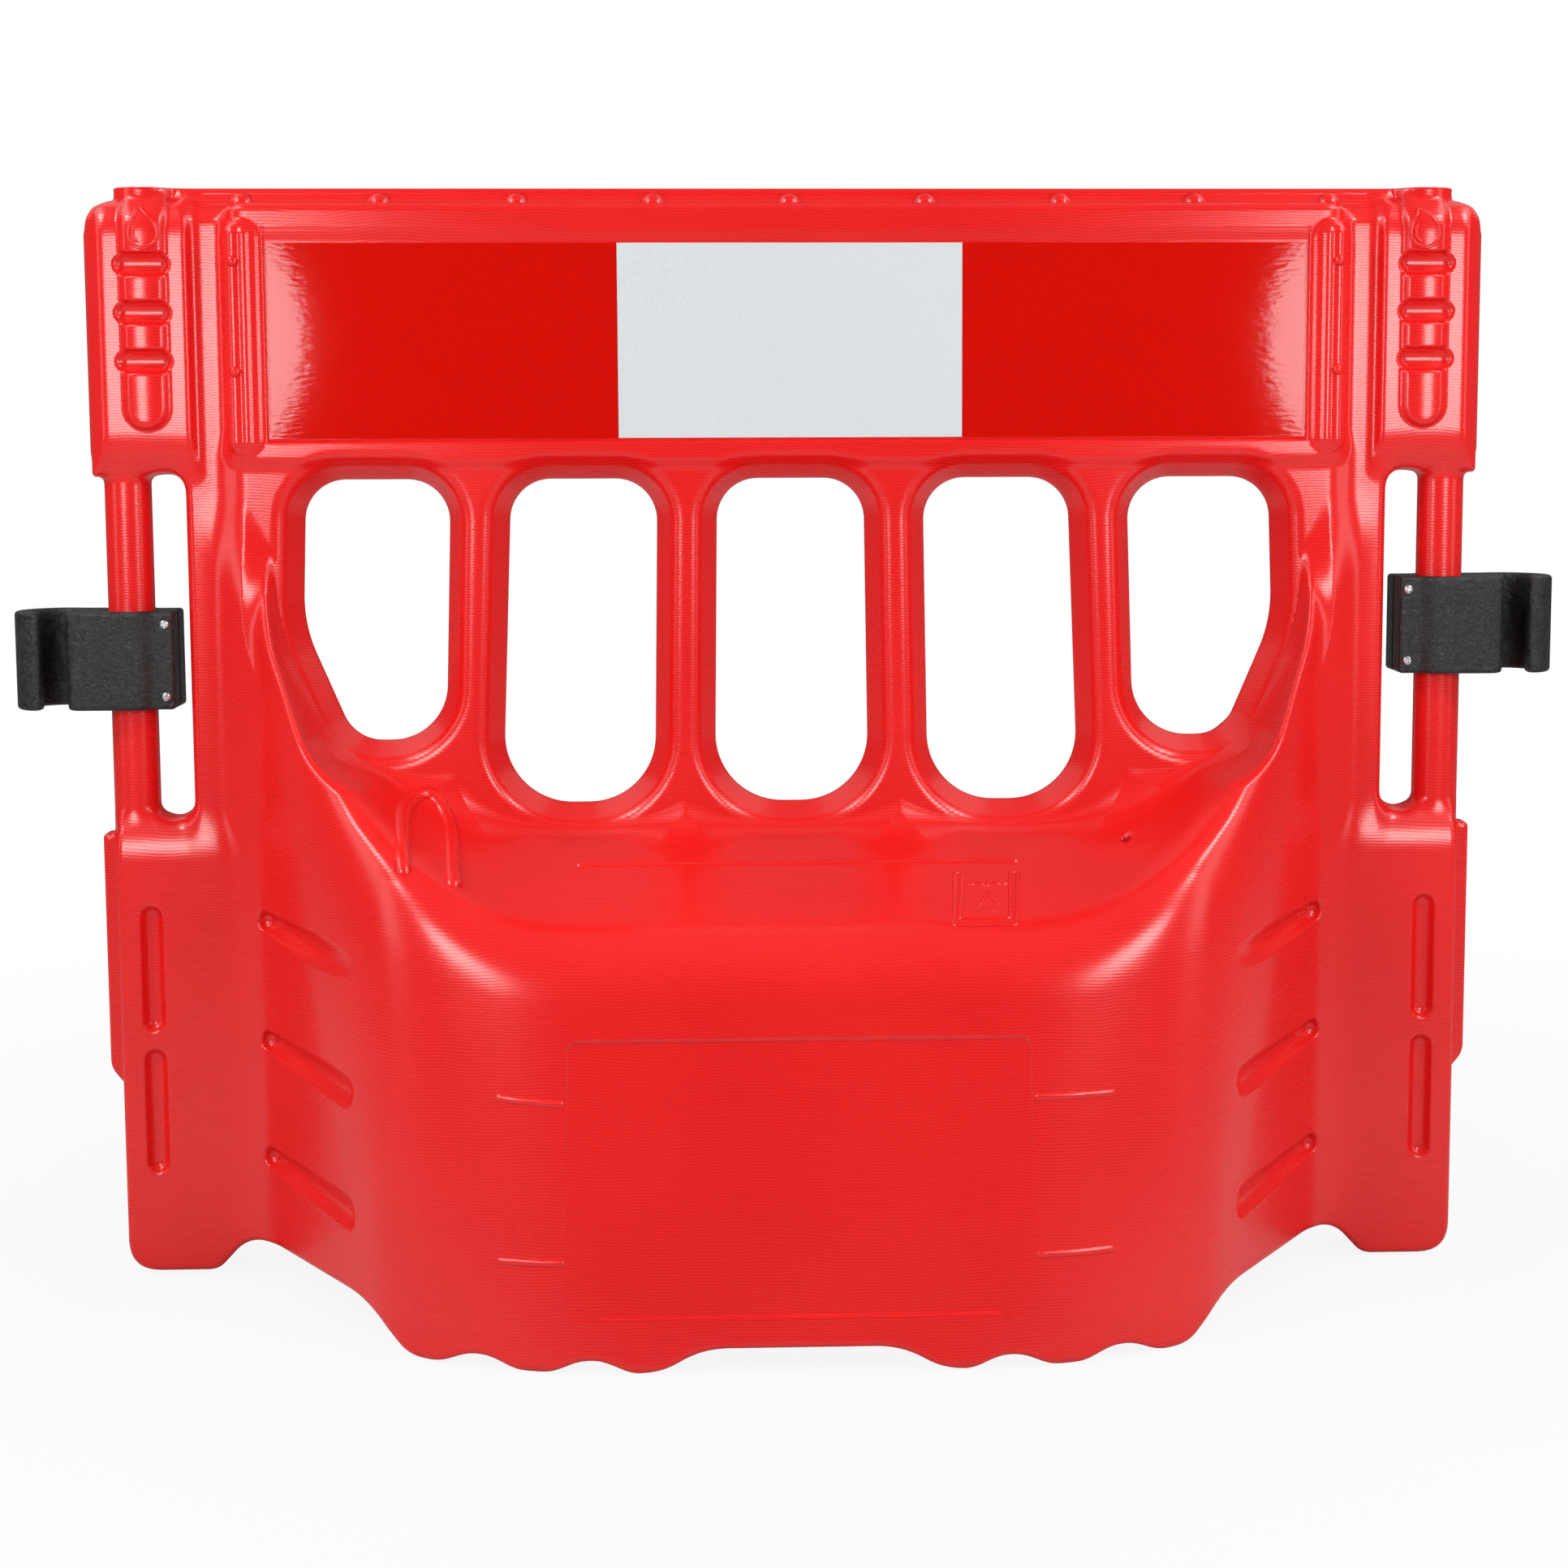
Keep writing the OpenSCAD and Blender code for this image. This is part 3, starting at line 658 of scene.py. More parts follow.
@dataclass(frozen=True)
class BlowMouldedHdpe:
    """Coloured HDPE from a blow mould: satin, with die lines round the parison and a blasted grain.

    The lines run level on walls and along the barrier on roofs, and stretch the gloss upward.
    A bump is its strength and its reach in millimetres.
    """

    name: str = "blow_moulded_red_hdpe"
    deep: str = "#DE1314"
    light: str = "#E71D1B"
    ior: float = 1.54
    rough: Pair = (0.22, 0.28)
    rough_from: Pair = (0.3, 0.7)
    stretch: float = 0.3
    stretch_way: Triple = (0.0, 0.3, 1.0)
    line_mm: float = 2.6
    line_tone: float = 0.3
    line_bump: Pair = (0.16, 0.2)
    waver: float = 22.0
    waver_mm: float = 110.0
    roof_from: Pair = (0.55, 0.8)
    grain_mm: float = 1.3
    grain_bump: Pair = (0.10, 0.25)
    tone_mm: float = 210.0
    tone_from: Pair = (0.4, 0.9)

    def material(self) -> bpy.types.Material:
        """Build the material."""
        shading = Shading(self.name)
        tree, here = shading.tree, shading.here
        rate = 2 * math.pi / (WAVE_RATE * self.line_mm * MM)
        on_wall, on_roof = (add_node(tree, "ShaderNodeTexWave", {
            "Vector": here["Object"], "Scale": rate, "Distortion": self.waver, "Detail": 2.0,
            "Detail Scale": 1 / (rate * self.waver_mm * MM), "Detail Roughness": 0.5,
        }, bands_direction=axis).outputs["Fac"] for axis in "ZY")
        upness = add_node(tree, "ShaderNodeSeparateXYZ", {0: here["Normal"]}).outputs["Z"]
        level = shading.ramp(upness, self.roof_from)
        lines = add_node(tree, "ShaderNodeMix", {0: level, 2: on_wall, 3: on_roof}).outputs[0]
        tone = shading.noise(self.tone_mm, 2.0)
        mottle = shading.maths("MULTIPLY_ADD", lines, self.line_tone, tone)
        grain = shading.noise(self.grain_mm, 2.0, Roughness=0.5)
        ridges = shading.bump(lines, *self.line_bump)
        way = add_node(tree, "ShaderNodeCombineXYZ", dict(enumerate(self.stretch_way)))
        return shading.finished({
            "Base Color": shading.blend(shading.ramp(mottle, self.tone_from), self.deep, self.light),
            "Roughness": shading.ramp(lines, self.rough_from, self.rough),
            "Normal": shading.bump(grain, *self.grain_bump, Normal=ridges),
            "Tangent": way.outputs[0],
            "Anisotropic": self.stretch,
            "IOR": self.ior,
        })


@dataclass(frozen=True)
class ReflectiveSheet:
    """Retroreflective road sheeting: glass beads under a clear film, so a soft colour below a sharp gloss.

    The film's wrinkles are longer along the sheet than they are high.
    """

    name: str
    base: str
    shade: str
    cell_mm: float = 3.2
    cell_wall: float = 0.12
    wall_shade: float = 0.55
    tone_mm: float = 120.0
    rough: Pair = (0.42, 0.55)
    wrinkle_mm: Pair = (12.0, 3.5)
    wrinkle_bump: Pair = (0.06, 1.0)
    film: float = 0.6
    film_rough: float = 0.06
    film_ior: float = 1.5

    def material(self) -> bpy.types.Material:
        """Build the material."""
        shading = Shading(self.name)
        cells = shading.cells(self.cell_mm, "DISTANCE_TO_EDGE")
        walls = shading.ramp(cells, (0.0, self.cell_wall), (self.wall_shade, 0.0))
        tone = shading.noise(self.tone_mm, 3.0)
        long, short = (1 / (size * MM) for size in self.wrinkle_mm)
        drawn = add_node(shading.tree, "ShaderNodeMapping", {
            "Vector": shading.here["Object"], "Scale": (long, long, short)})
        waves = shading.noise(1.0, 2.0, Vector=drawn.outputs[0], Scale=1.0, Roughness=0.5)
        wrinkles = shading.bump(waves, *self.wrinkle_bump)
        return shading.finished({
            "Base Color": shading.blend(shading.maths("MULTIPLY", walls, tone), self.base, self.shade),
            "Roughness": shading.ramp(tone, end=self.rough),
            "Normal": wrinkles,
            "Coat Normal": wrinkles,
            "Specular IOR Level": 0.0,
            "Coat Weight": self.film,
            "Coat Roughness": self.film_rough,
            "Coat IOR": self.film_ior,
        })


@dataclass(frozen=True)
class MouldedRubber:
    """Black recycled rubber from a rough mould: dark, with a leathery grain that catches the light."""

    name: str = "moulded_black_rubber"
    dark: str = "#0C0D0E"
    dusty: str = "#28292B"
    rough: Pair = (0.28, 0.5)
    grain_mm: float = 3.0
    grain_bump: Pair = (0.4, 0.8)
    fold_mm: float = 7.0
    fold_bump: Pair = (0.8, 2.6)
    worn_from: Pair = (0.42, 0.78)

    def material(self) -> bpy.types.Material:
        """Build the material."""
        shading = Shading(self.name)
        folds = shading.noise(self.fold_mm, 5.0, Roughness=0.62, Distortion=1.4)
        pits = shading.cells(self.grain_mm, "SMOOTH_F1")
        creases = shading.bump(folds, *self.fold_bump)
        return shading.finished({
            "Base Color": shading.blend(shading.ramp(folds, self.worn_from), self.dark, self.dusty),
            "Roughness": shading.ramp(pits, end=self.rough),
            "Normal": shading.bump(pits, *self.grain_bump, Normal=creases),
        })


@dataclass(frozen=True)
class ZincPlatedSteel:
    """Bright zinc plate on steel: a pale metal with faint clouds in its plating."""

    name: str = "zinc_plated_steel"
    pale: str = "#D9DCDE"
    cloud: str = "#AEB4BA"
    cloud_mm: float = 2.5
    rough: Pair = (0.2, 0.42)

    def material(self) -> bpy.types.Material:
        """Build the material."""
        shading = Shading(self.name)
        clouds = shading.noise(self.cloud_mm, 3.0)
        return shading.finished({
            "Base Color": shading.blend(clouds, self.pale, self.cloud),
            "Roughness": shading.ramp(clouds, end=self.rough),
            "Metallic": 1.0,
        })


# The moulded body


@dataclass
class WindowSet:
    """The five openings between the bars, in plan as seen from the front.

    Attributes:
        bevel: How far an edge opens out from the middle plane to the bar's face.
        half_depth: Half depth of the bars.
        reach: How far in front of the middle plane the bevel runs on.
        soft: How softly the two bevels meet at the middle plane.
        arc_steps: Steps round a corner.
        step: Spacing of the table.
        low: Lowest X and Z of the table.
        high: Highest X and Z of the table.
        rim: How far inside the table's last point a place is kept, in points.
        middle: Corners of the middle window, as X, Z and radius.
        second: Corners of the window beside it.
        outer: Corners of the outer window.
        table: Distance to the nearest window, on a grid.
    """

    bevel: float = 18.0
    half_depth: float = 34.0
    reach: float = 44.0
    soft: float = 3.0
    arc_steps: int = 24
    step: float = 2.0
    low: Pair = (0.0, 380.0)
    high: Pair = (560.0, 800.0)
    rim: float = 1.001
    middle: tuple = ((-71.5, 437.5, 62), (71.5, 437.5, 62), (67.5, 737.5, 38), (-67.5, 737.5, 38))
    second: tuple = ((127.5, 437.5, 62), (268.5, 437.5, 62), (256.5, 737.5, 38), (122.5, 737.5, 38))
    outer: tuple = ((320, 497, 52), (404, 497, 38), (449, 604, 130), (444, 737.5, 38), (312, 737.5, 38))
    table: np.ndarray = field(init=False)

    def __post_init__(self) -> None:
        """Measure the distance to the nearest window over the whole face once."""
        xs = np.arange(self.low[0], self.high[0] + self.step, self.step)
        zs = np.arange(self.low[1], self.high[1] + self.step, self.step)
        x, z = np.meshgrid(xs, zs, indexing="ij")
        gaps = [self.gap(self.outline(c), x, z) for c in (self.middle, self.second, self.outer)]
        self.table = np.minimum.reduce(gaps).astype(np.float32)

    def outline(self, corners: Sequence[Triple]) -> np.ndarray:
        """Round the corners of an outline.

        Args:
            corners: X, Z and radius of each corner, counter-clockwise.

        Returns:
            Points along the outline.
        """
        points = []
        for n, (x, z, r) in enumerate(corners):
            here = Vector((x, z))
            p = (Vector(corners[n - 1][:2]) - here).normalized()
            q = (Vector(corners[(n + 1) % len(corners)][:2]) - here).normalized()
            half = p.angle(q) / 2
            mid = here + (p + q).normalized() * r / math.sin(half)
            start = here + p * r / math.tan(half) - mid
            end = here + q * r / math.tan(half) - mid
            turn = math.pi - 2 * half
            for i in range(self.arc_steps + 1):
                t = turn * i / self.arc_steps
                points.append(mid + (start * math.sin(turn - t) + end * math.sin(t)) / math.sin(turn))
        return np.array(points)

    def gap(self, outline: np.ndarray, x: np.ndarray, z: np.ndarray) -> np.ndarray:
        """Signed distance to a convex outline.

        Args:
            outline: Its points, counter-clockwise.
            x: Where to measure, along the barrier.
            z: Where to measure, upward.

        Returns:
            Distances, negative inside.
        """
        near = np.full(x.shape, np.inf)
        inside = np.ones(x.shape, dtype=bool)
        for a, b in zip(outline, np.roll(outline, -1, axis=0)):
            run = b - a
            t = np.clip(((x - a[0]) * run[0] + (z - a[1]) * run[1]) / (run @ run), 0, 1)
            near = np.minimum(near, np.hypot(x - a[0] - t * run[0], z - a[1] - t * run[1]))
            inside &= (run[0] * (z - a[1]) - run[1] * (x - a[0])) >= 0
        return np.where(inside, -near, near)

    def flat(self, p: Points) -> np.ndarray:
        """Distance to the nearest window's outline at the middle plane."""
        u = np.clip((p[0] - self.low[0]) / self.step, 0, self.table.shape[0] - self.rim)
        v = np.clip((p[2] - self.low[1]) / self.step, 0, self.table.shape[1] - self.rim)
        i, j = u.astype(np.int32), v.astype(np.int32)
        fu, fv = u - i, v - j
        low = self.table[i, j] * (1 - fu) + self.table[i + 1, j] * fu
        high = self.table[i, j + 1] * (1 - fu) + self.table[i + 1, j + 1] * fu
        return low * (1 - fv) + high * fv

    def distance(self, p: Points, flat: np.ndarray) -> np.ndarray:
        """Distance to the space of the windows, bevelled from the middle plane to both faces.

        Args:
            p: Where to measure.
            flat: Distance to the outline at the middle plane.

        Returns:
            Signed distances, negative inside a window.
        """
        depth = np.minimum(np.sqrt(p[1] ** 2 + self.soft ** 2) - self.soft, self.reach)
        slope = self.half_depth / math.hypot(self.half_depth, self.bevel)
        return (flat - self.bevel * depth / self.half_depth) * slope


@dataclass(frozen=True)
class Slab:
    """A box with rounded edges, alike in front of and behind the middle plane.

    Attributes:
        x: Its ends along the barrier.
        half: Half its depth.
        z: Its lower and upper ends.
        r: Radius of its edges.
    """

    x: Pair
    half: float
    z: Pair
    r: float

    def distance(self, p: Points) -> np.ndarray:
        """Distance to the box."""
        (x_low, x_high), (z_low, z_high) = self.x, self.z
        return rounded_box(p, (x_low, -self.half, z_low), (x_high, self.half, z_high), self.r)


@dataclass
class BarrierShell:
    """The hollow moulding: foot, bars, beam, posts, tubes and fill necks in one skin.

    All sizes are in millimetres. Both faces and both ends are alike, so one quarter is measured, and
    a slab that starts at PAST runs on into the other half. The last value of each smooth_min or
    smooth_max is the reach of the fillet or rounding there.
    """

    wall: Slab = Slab((PAST, 508.0), 34.0, (8.0, 775.0), 17.0)
    web: Slab = Slab((PAST, 554.0), 25.5, (8.0, 978.0), 12.0)
    block: Slab = Slab((PAST, 560.0), 40.0, (752.0, 985.0), 7.0)
    step: Slab = Slab((PAST, 545.0), 18.0, (950.0, 990.0), 3.5)
    ridge: Slab = Slab((PAST, 552.0), 10.0, (950.0, 1000.0), 4.0)
    upper: Slab = Slab((541.0, 635.5), 35.0, (741.0, 990.0), 4.0)
    lower: Slab = Slab((490.0, 624.0), 35.0, (-40.0, 434.0), 9.0)
    beam_x: float = 510.0
    recess_x: float = 471.5
    recess_z: Pair = (772.0, 963.0)
    recess_d: float = 3.0
    ramp_z: float = 951.0
    ramp_h: float = 12.0
    pad_x: float = 492.0
    pad_y: float = 43.0
    pad_z: Pair = (776.0, 953.5)
    pad_r: float = 16.0
    rib_x: Pair = (488.7, 498.0)
    rib_r: float = 6.0
    rib_more: float = 4.0
    bevel_x: float = 619.5
    bevel_way: Pair = (0.757, 0.654)
    cap_x: float = 622.0
    cap_z: float = 974.0
    chin_z: float = 768.0
    chin_slope: float = 0.55
    column_x: float = 579.0
    column_half: float = 21.0
    column_axis: Pair = (581.0, -1.0)
    column_r: float = 45.0
    column_z: Pair = (783.5, 981.0)
    groove_x: Pair = (565.0, 596.0)
    groove_y: float = 40.5
    groove_z: Triple = (844.6, 887.8, 931.0)
    groove_r: float = 10.5
    neck_x: float = 583.0
    neck_z: float = 980.0
    neck_half: float = 20.0
    neck_r: float = 27.0
    neck_bore_r: float = 22.0
    neck_floor_z: float = 930.0
    shoulder_z: float = 404.0
    shoulder_slope: float = 0.6
    toe_x: float = 590.0
    toe_r: float = 34.0
    flute_x: float = 590.0
    flute_y: float = 37.0
    flute_z: Pair = (97.0, 231.0)
    flute_h: float = 117.0
    flute_r: float = 10.0
    nose_x: Pair = (600.0, 637.0)
    nose_half: float = 13.0
    nose_run: float = 20.0
    nose_slope: float = 1.25
    low_nose_z: Pair = (192.0, 413.0)
    high_nose_z: Pair = (758.0, 963.0)
    slot_x: float = 569.5
    slot_z: Pair = (429.0, 740.0)
    slot_r: float = 15.5
    slot_draft: float = 0.12
    tube_x: float = 606.0
    tube_z: float = 585.0
    tube_half: float = 180.0
    tube_r: float = 21.0
    foot_half: float = 332.0
    foot_lean: float = 0.1875
    hip_round: Pair = (12.0, 66.0)
    hip_z: float = 400.0
    hip_fade: float = 0.3
    root_round: Pair = (2.0, 40.0)
    root_rate: float = 1.2
    middle_arch_x: float = 83.0
    middle_arch_h: float = 20.0
    middle_arch_run: float = 37.0
    side_arch_x: Pair = (332.0, 509.0)
    side_arch_h: float = 35.0
    side_arch_run: Pair = (42.0, 32.0)
    scallop_x: Pair = (176.0, 272.0)
    scallop_z: float = -32.7
    scallop_r: float = 43.7
    side_run: float = 0.6387
    pocket_at: Pair = (436.5, 131.6)
    pocket_z: Triple = (111.0, 220.0, 331.0)
    pocket_tilt: float = 7.0
    pocket_back: Pair = (-84.5, -0.5)
    pocket_front: Pair = (78.0, 12.0)
    pocket_r: Pair = (8.5, 18.0)
    label_x: float = 195.0
    label_z: Pair = (47.0, 272.0)
    label_r: float = 9.0
    label_d: float = 1.7
    overflow: Triple = (300.0, -98.0, 408.0)
    overflow_r: float = 5.0
    overflow_half: float = 40.0
    drill_half: float = 30.0
    cell: float = 2.0
    far_corner: Triple = (645.0, 340.0, 1008.0)
    seam: float = 0.6
    quarter_triangles: int = 48500
    windows: WindowSet = field(default_factory=WindowSet)
    front_faces: list = field(init=False)
    side_faces: list = field(init=False)
    bowl_faces: list = field(init=False)

    def __post_init__(self) -> None:
        """Lay out the faces of the foot and of the hollow over its roof."""
        core, sky = (0.0, 0.0, 200.0), (0.0, 200.0, 800.0)
        toe, heel, hip = (255.0, 332.0, 0.0), (347.0, 272.0, 0.0), (338.0, 248.0, 404.0)
        brow, root, crest = (236.0, 266.0, 352.0), (499.0, 34.0, 0.0), (499.0, 34.0, 645.0)
        cap, cap_end = (338.0, 248.0, 424.0), (499.0, 34.0, 665.0)
        self.front_faces = faces_round(core, (toe, across(toe), brow), (toe, hip, brow))
        self.side_faces = faces_round(
            core, (heel, root, crest), (heel, crest, hip), (toe, heel, hip), (cap, cap_end, across(cap_end)))
        a, b, c = (290.0, 34.0, 418.0), (385.0, 34.0, 470.0), (437.0, 34.0, 532.0)
        d, above = (478.0, 34.0, 647.0), (478.0, 34.0, 1000.0)
        low, mid, top = (236.0, 332.0, 333.2), (347.0, 332.0, 411.0), (497.0, 332.0, 1000.0)
        self.bowl_faces = faces_round(
            sky, (a, across(a), low), (a, b, low), (b, mid, low), (b, c, mid), (c, d, mid), (d, mid, top),
            (d, above, top))

    def foot(self, p: Points) -> np.ndarray:
        """Distance to the foot block under its hollowed roof, with hips that sharpen upward."""
        front = convex(p, self.front_faces, (0.0, 3.0))
        sides = convex(p, self.side_faces, (0.0, 5.0, 12.0, 30.0))
        roof = -convex(p, self.bowl_faces, (0.0, 30.0, 14.0, 18.0, 26.0, 12.0, 20.0))
        sharp, soft = self.hip_round
        hip = np.clip(soft - self.hip_fade * (p[2] - self.hip_z), sharp, soft)
        return smooth_max(smooth_max(front, roof, 46.0), sides, hip)

    def bars(self, p: Points) -> np.ndarray:
        """Distance to the wall that the windows pierce, with its thinner edge beside the slot."""
        return smooth_min(self.wall.distance(p), self.web.distance(p), 18.0)

    def beam(self, p: Points) -> np.ndarray:
        """Distance to the top beam with its ridge, ribs and the recess for the sheets."""
        x, y, z = p
        face = self.block.half
        block = smooth_max(self.block.distance(p), x - self.beam_x, 26.0)
        ramp = np.clip((z - self.ramp_z) / self.ramp_h, 0.0, 1.0)
        floor = face - self.recess_d + ramp * self.recess_d
        low, high = self.recess_z
        recess = np.maximum(np.maximum(x - self.recess_x, low - z), np.maximum(z - high, floor - y))
        block = smooth_max(block, -recess, 1.6)
        low, high = self.pad_z
        past = np.maximum(low - z, 0.0) + np.maximum(z - high, 0.0)
        pad = np.maximum(np.hypot(x - self.pad_x, past) - self.pad_r, -y)
        block = smooth_min(block, smooth_max(pad, y - self.pad_y, 6.0), 3.0)
        for rib in self.rib_x:
            ends = [(rib, face, end) for end in (low - self.rib_more, high + self.rib_more)]
            block = smooth_min(block, capsule(p, *ends, self.rib_r, self.rib_r), 2.5)
        return smooth_min(smooth_min(block, self.step.distance(p), 4.0), self.ridge.distance(p), 5.0)

    def upper_post(self, p: Points) -> np.ndarray:
        """Distance to the upper post box with its grooved column and neck."""
        x, y, z = p
        face, top = self.upper.half, self.upper.z[1]
        low, high = self.column_z
        block = smooth_max(self.upper.distance(p), slanted(x - self.bevel_x, y - face, *self.bevel_way), 5.0)
        block = smooth_max(block, slanted(y - face, z - self.cap_z, 1.0, 1.0), 14.0)
        block = smooth_max(block, slanted(x - self.cap_x, z - top, 1.0, 1.0), 12.0)
        block = smooth_max(block, slanted(y - face, z - self.chin_z, 1.0, -self.chin_slope), 7.0)
        end = np.maximum(low + self.column_half - z, 0.0)
        sides = np.hypot(x - self.column_x, end) - self.column_half
        crown = np.hypot(x - self.column_axis[0], y - self.column_axis[1]) - self.column_r
        column = smooth_max(smooth_max(crown, sides, 8.0), slanted(y - face, z - high, 1.0, 1.0), 10.0)
        block = smooth_min(block, column, 3.0)
        for middle in self.groove_z:
            ends = [(place, self.groove_y, middle) for place in self.groove_x]
            block = smooth_max(block, -capsule(p, *ends, self.groove_r, self.groove_r), 2.5)
        around = np.hypot(x - self.neck_x, y)
        neck = np.maximum(around - self.neck_r, np.abs(z - self.neck_z) - self.neck_half)
        block = smooth_min(block, neck, 3.0)
        return smooth_max(block, -np.maximum(around - self.neck_bore_r, self.neck_floor_z - z), 2.5)

    def lower_post(self, p: Points) -> np.ndarray:
        """Distance to the lower post box with its shoulder, rounded toe and long grooves."""
        x, y, z = p
        slope = slanted(y - self.lower.half, z - self.shoulder_z, 1.0, self.shoulder_slope)
        block = smooth_max(self.lower.distance(p), slope, 9.0)
        toe = np.hypot(np.maximum(x - self.toe_x, 0.0), np.maximum(self.toe_r - z, 0.0)) - self.toe_r
        block = smooth_max(block, toe, 9.0)
        for low in self.flute_z:
            heights = (low + self.flute_r, low + self.flute_h - self.flute_r)
            ends = [(self.flute_x, self.flute_y, height) for height in heights]
            block = smooth_max(block, -capsule(p, *ends, self.flute_r, self.flute_r), 3.0)
        return block

    def nose(self, p: Points, low: float, high: float) -> np.ndarray:
        """Distance to the strip that stands out from a post's end.

        Args:
            p: Where to measure.
            low: Lower end of its full projection.
            high: Upper end.

        Returns:
            Signed distances, negative inside.
        """
        strip = Slab(self.nose_x, self.nose_half, (low - self.nose_run, high), 5.0).distance(p)
        return smooth_max(strip, slanted(p[0] - self.nose_x[1], p[2] - low, self.nose_slope, -1.0), 5.0)

    def underside(self, p: Points) -> np.ndarray:
        """Distance to the clearances under the foot."""
        x, z = p[0], p[2]
        height = self.middle_arch_h
        fall = slanted(x - self.middle_arch_x, z - height, height, self.middle_arch_run)
        middle = smooth_max(z - height, fall, 10.0)
        height = self.side_arch_h
        (start, end), (rise_run, fall_run) = self.side_arch_x, self.side_arch_run
        rise = slanted(x - start, z, -height, rise_run)
        fall = slanted(x - end, z - height, height, fall_run)
        side = smooth_max(np.maximum(rise, fall), z - height, 14.0)
        scallops = [np.hypot(x - place, z - self.scallop_z) - self.scallop_r for place in self.scallop_x]
        return np.minimum.reduce([middle, side, *scallops])

    def pockets(self, p: Points) -> np.ndarray:
        """Distance to the pockets in the side faces, deep at the post and fading to the front."""
        along = Vector((-self.side_run, 1.0, 0.0)).normalized()
        out = Vector((1.0, self.side_run, 0.0)).normalized()
        tilt = Vector((0.0, 0.0, self.pocket_tilt))
        pockets = []
        for z in self.pocket_z:
            middle = Vector((*self.pocket_at, z))
            deep = middle + along * self.pocket_back[0] + out * self.pocket_back[1] + tilt
            faded = middle + along * self.pocket_front[0] + out * self.pocket_front[1] - tilt
            pockets.append(capsule(p, tuple(deep), tuple(faded), *self.pocket_r))
        return np.minimum.reduce(pockets)

    def label(self, p: Points) -> np.ndarray:
        """Distance to the shallow inset in the foot's front."""
        low, high = self.label_z
        proud = slanted(p[1] - self.foot_half, p[2], 1.0, self.foot_lean)
        across_x = np.maximum(p[0] - self.label_x + self.label_r, 0.0)
        across_z = np.maximum(np.abs(p[2] - (low + high) / 2) - (high - low) / 2 + self.label_r, 0.0)
        return np.maximum(np.hypot(across_x, across_z) - self.label_r, -proud - self.label_d)

    def quarter(self, p: Points) -> np.ndarray:
        """Distance to the whole skin, for points folded into one quarter."""
        p = (np.abs(p[0]), np.abs(p[1]), p[2])
        x, y, z = p
        body = smooth_min(self.bars(p), self.beam(p), 9.0)
        flat = self.windows.flat(p)
        sharp, soft = self.root_round
        root = np.clip(sharp + self.root_rate * (flat - self.windows.bevel), sharp, soft)
        body = smooth_min(body, self.foot(p), root)
        body = smooth_min(body, self.upper_post(p), 13.0)
        body = smooth_min(body, self.lower_post(p), 14.0)
        body = smooth_max(body, -self.windows.distance(p, flat), 9.0)
        low, high = self.slot_z
        end = np.maximum(np.abs(z - (low + high) / 2) - (high - low) / 2 + self.slot_r, 0.0)
        slot = np.hypot(x - self.slot_x, end) - self.slot_r - self.slot_draft * y
        body = smooth_max(body, -slot, 9.0)
        around = np.hypot(x - self.tube_x, y) - self.tube_r
        body = smooth_min(body, np.maximum(around, np.abs(z - self.tube_z) - self.tube_half), 7.0)
        body = smooth_min(body, self.nose(p, *self.low_nose_z), 4.0)
        body = smooth_min(body, self.nose(p, *self.high_nose_z), 2.0)
        body = smooth_max(body, -self.pockets(p), 4.0)
        body = smooth_max(body, -self.label(p), 2.2)
        body = smooth_max(body, -self.underside(p), 6.0)
        return np.maximum(smooth_max(body, -z, 9.0), z - self.ridge.z[1])

    def whole(self, p: Points) -> np.ndarray:
        """Distance to the whole skin with the single overflow hole in its front."""
        across_x, y, z = (c - middle for c, middle in zip(p, self.overflow))
        around = np.hypot(across_x, slanted(y, z, 1.0, 1.0)) - self.overflow_r
        hole = np.maximum(around, np.abs(slanted(y, z, 1.0, -1.0)) - self.overflow_half)
        return smooth_max(self.quarter(p), -hole, 1.5)

    def mesh(self) -> bpy.types.Mesh:
        """Build the moulding's mesh from four copies of its quarter.

        Returns:
            A closed mesh, without the overflow hole.
        """
        edge = self.cell / 2
        net = SurfaceNet((-edge, -edge, -2 * self.cell), self.far_corner, self.cell)
        points, faces = thinned(*net.quads(self.quarter), self.quarter_triangles)
        for axis in (0, 1):
            points[np.abs(points[:, axis]) < self.seam, axis] = 0.0
        seam = points[:, :2] == 0.0
        points = on_skin(self.quarter, points, 0.4)
        points[:, :2][seam] = 0.0
        points[:, 2] = np.clip(points[:, 2], 0.0, self.ridge.z[1])
        copies, rings = [], []
        for n, (sx, sy) in enumerate(((1, 1), (-1, 1), (-1, -1), (1, -1))):
            copies.append(points * np.array((sx, sy, 1)))
            rings.append((faces if sx * sy > 0 else faces[:, ::-1]) + n * len(points))
        mesh = mesh_of(np.concatenate(copies), np.concatenate(rings))
        work = bmesh.new()
        work.from_mesh(mesh)
        edge_points = [v for v in work.verts if abs(v.co.x) < 1e-7 or abs(v.co.y) < 1e-7]
        bmesh.ops.remove_doubles(work, verts=edge_points, dist=1e-5)
        work.to_mesh(mesh)
        work.free()
        return mesh

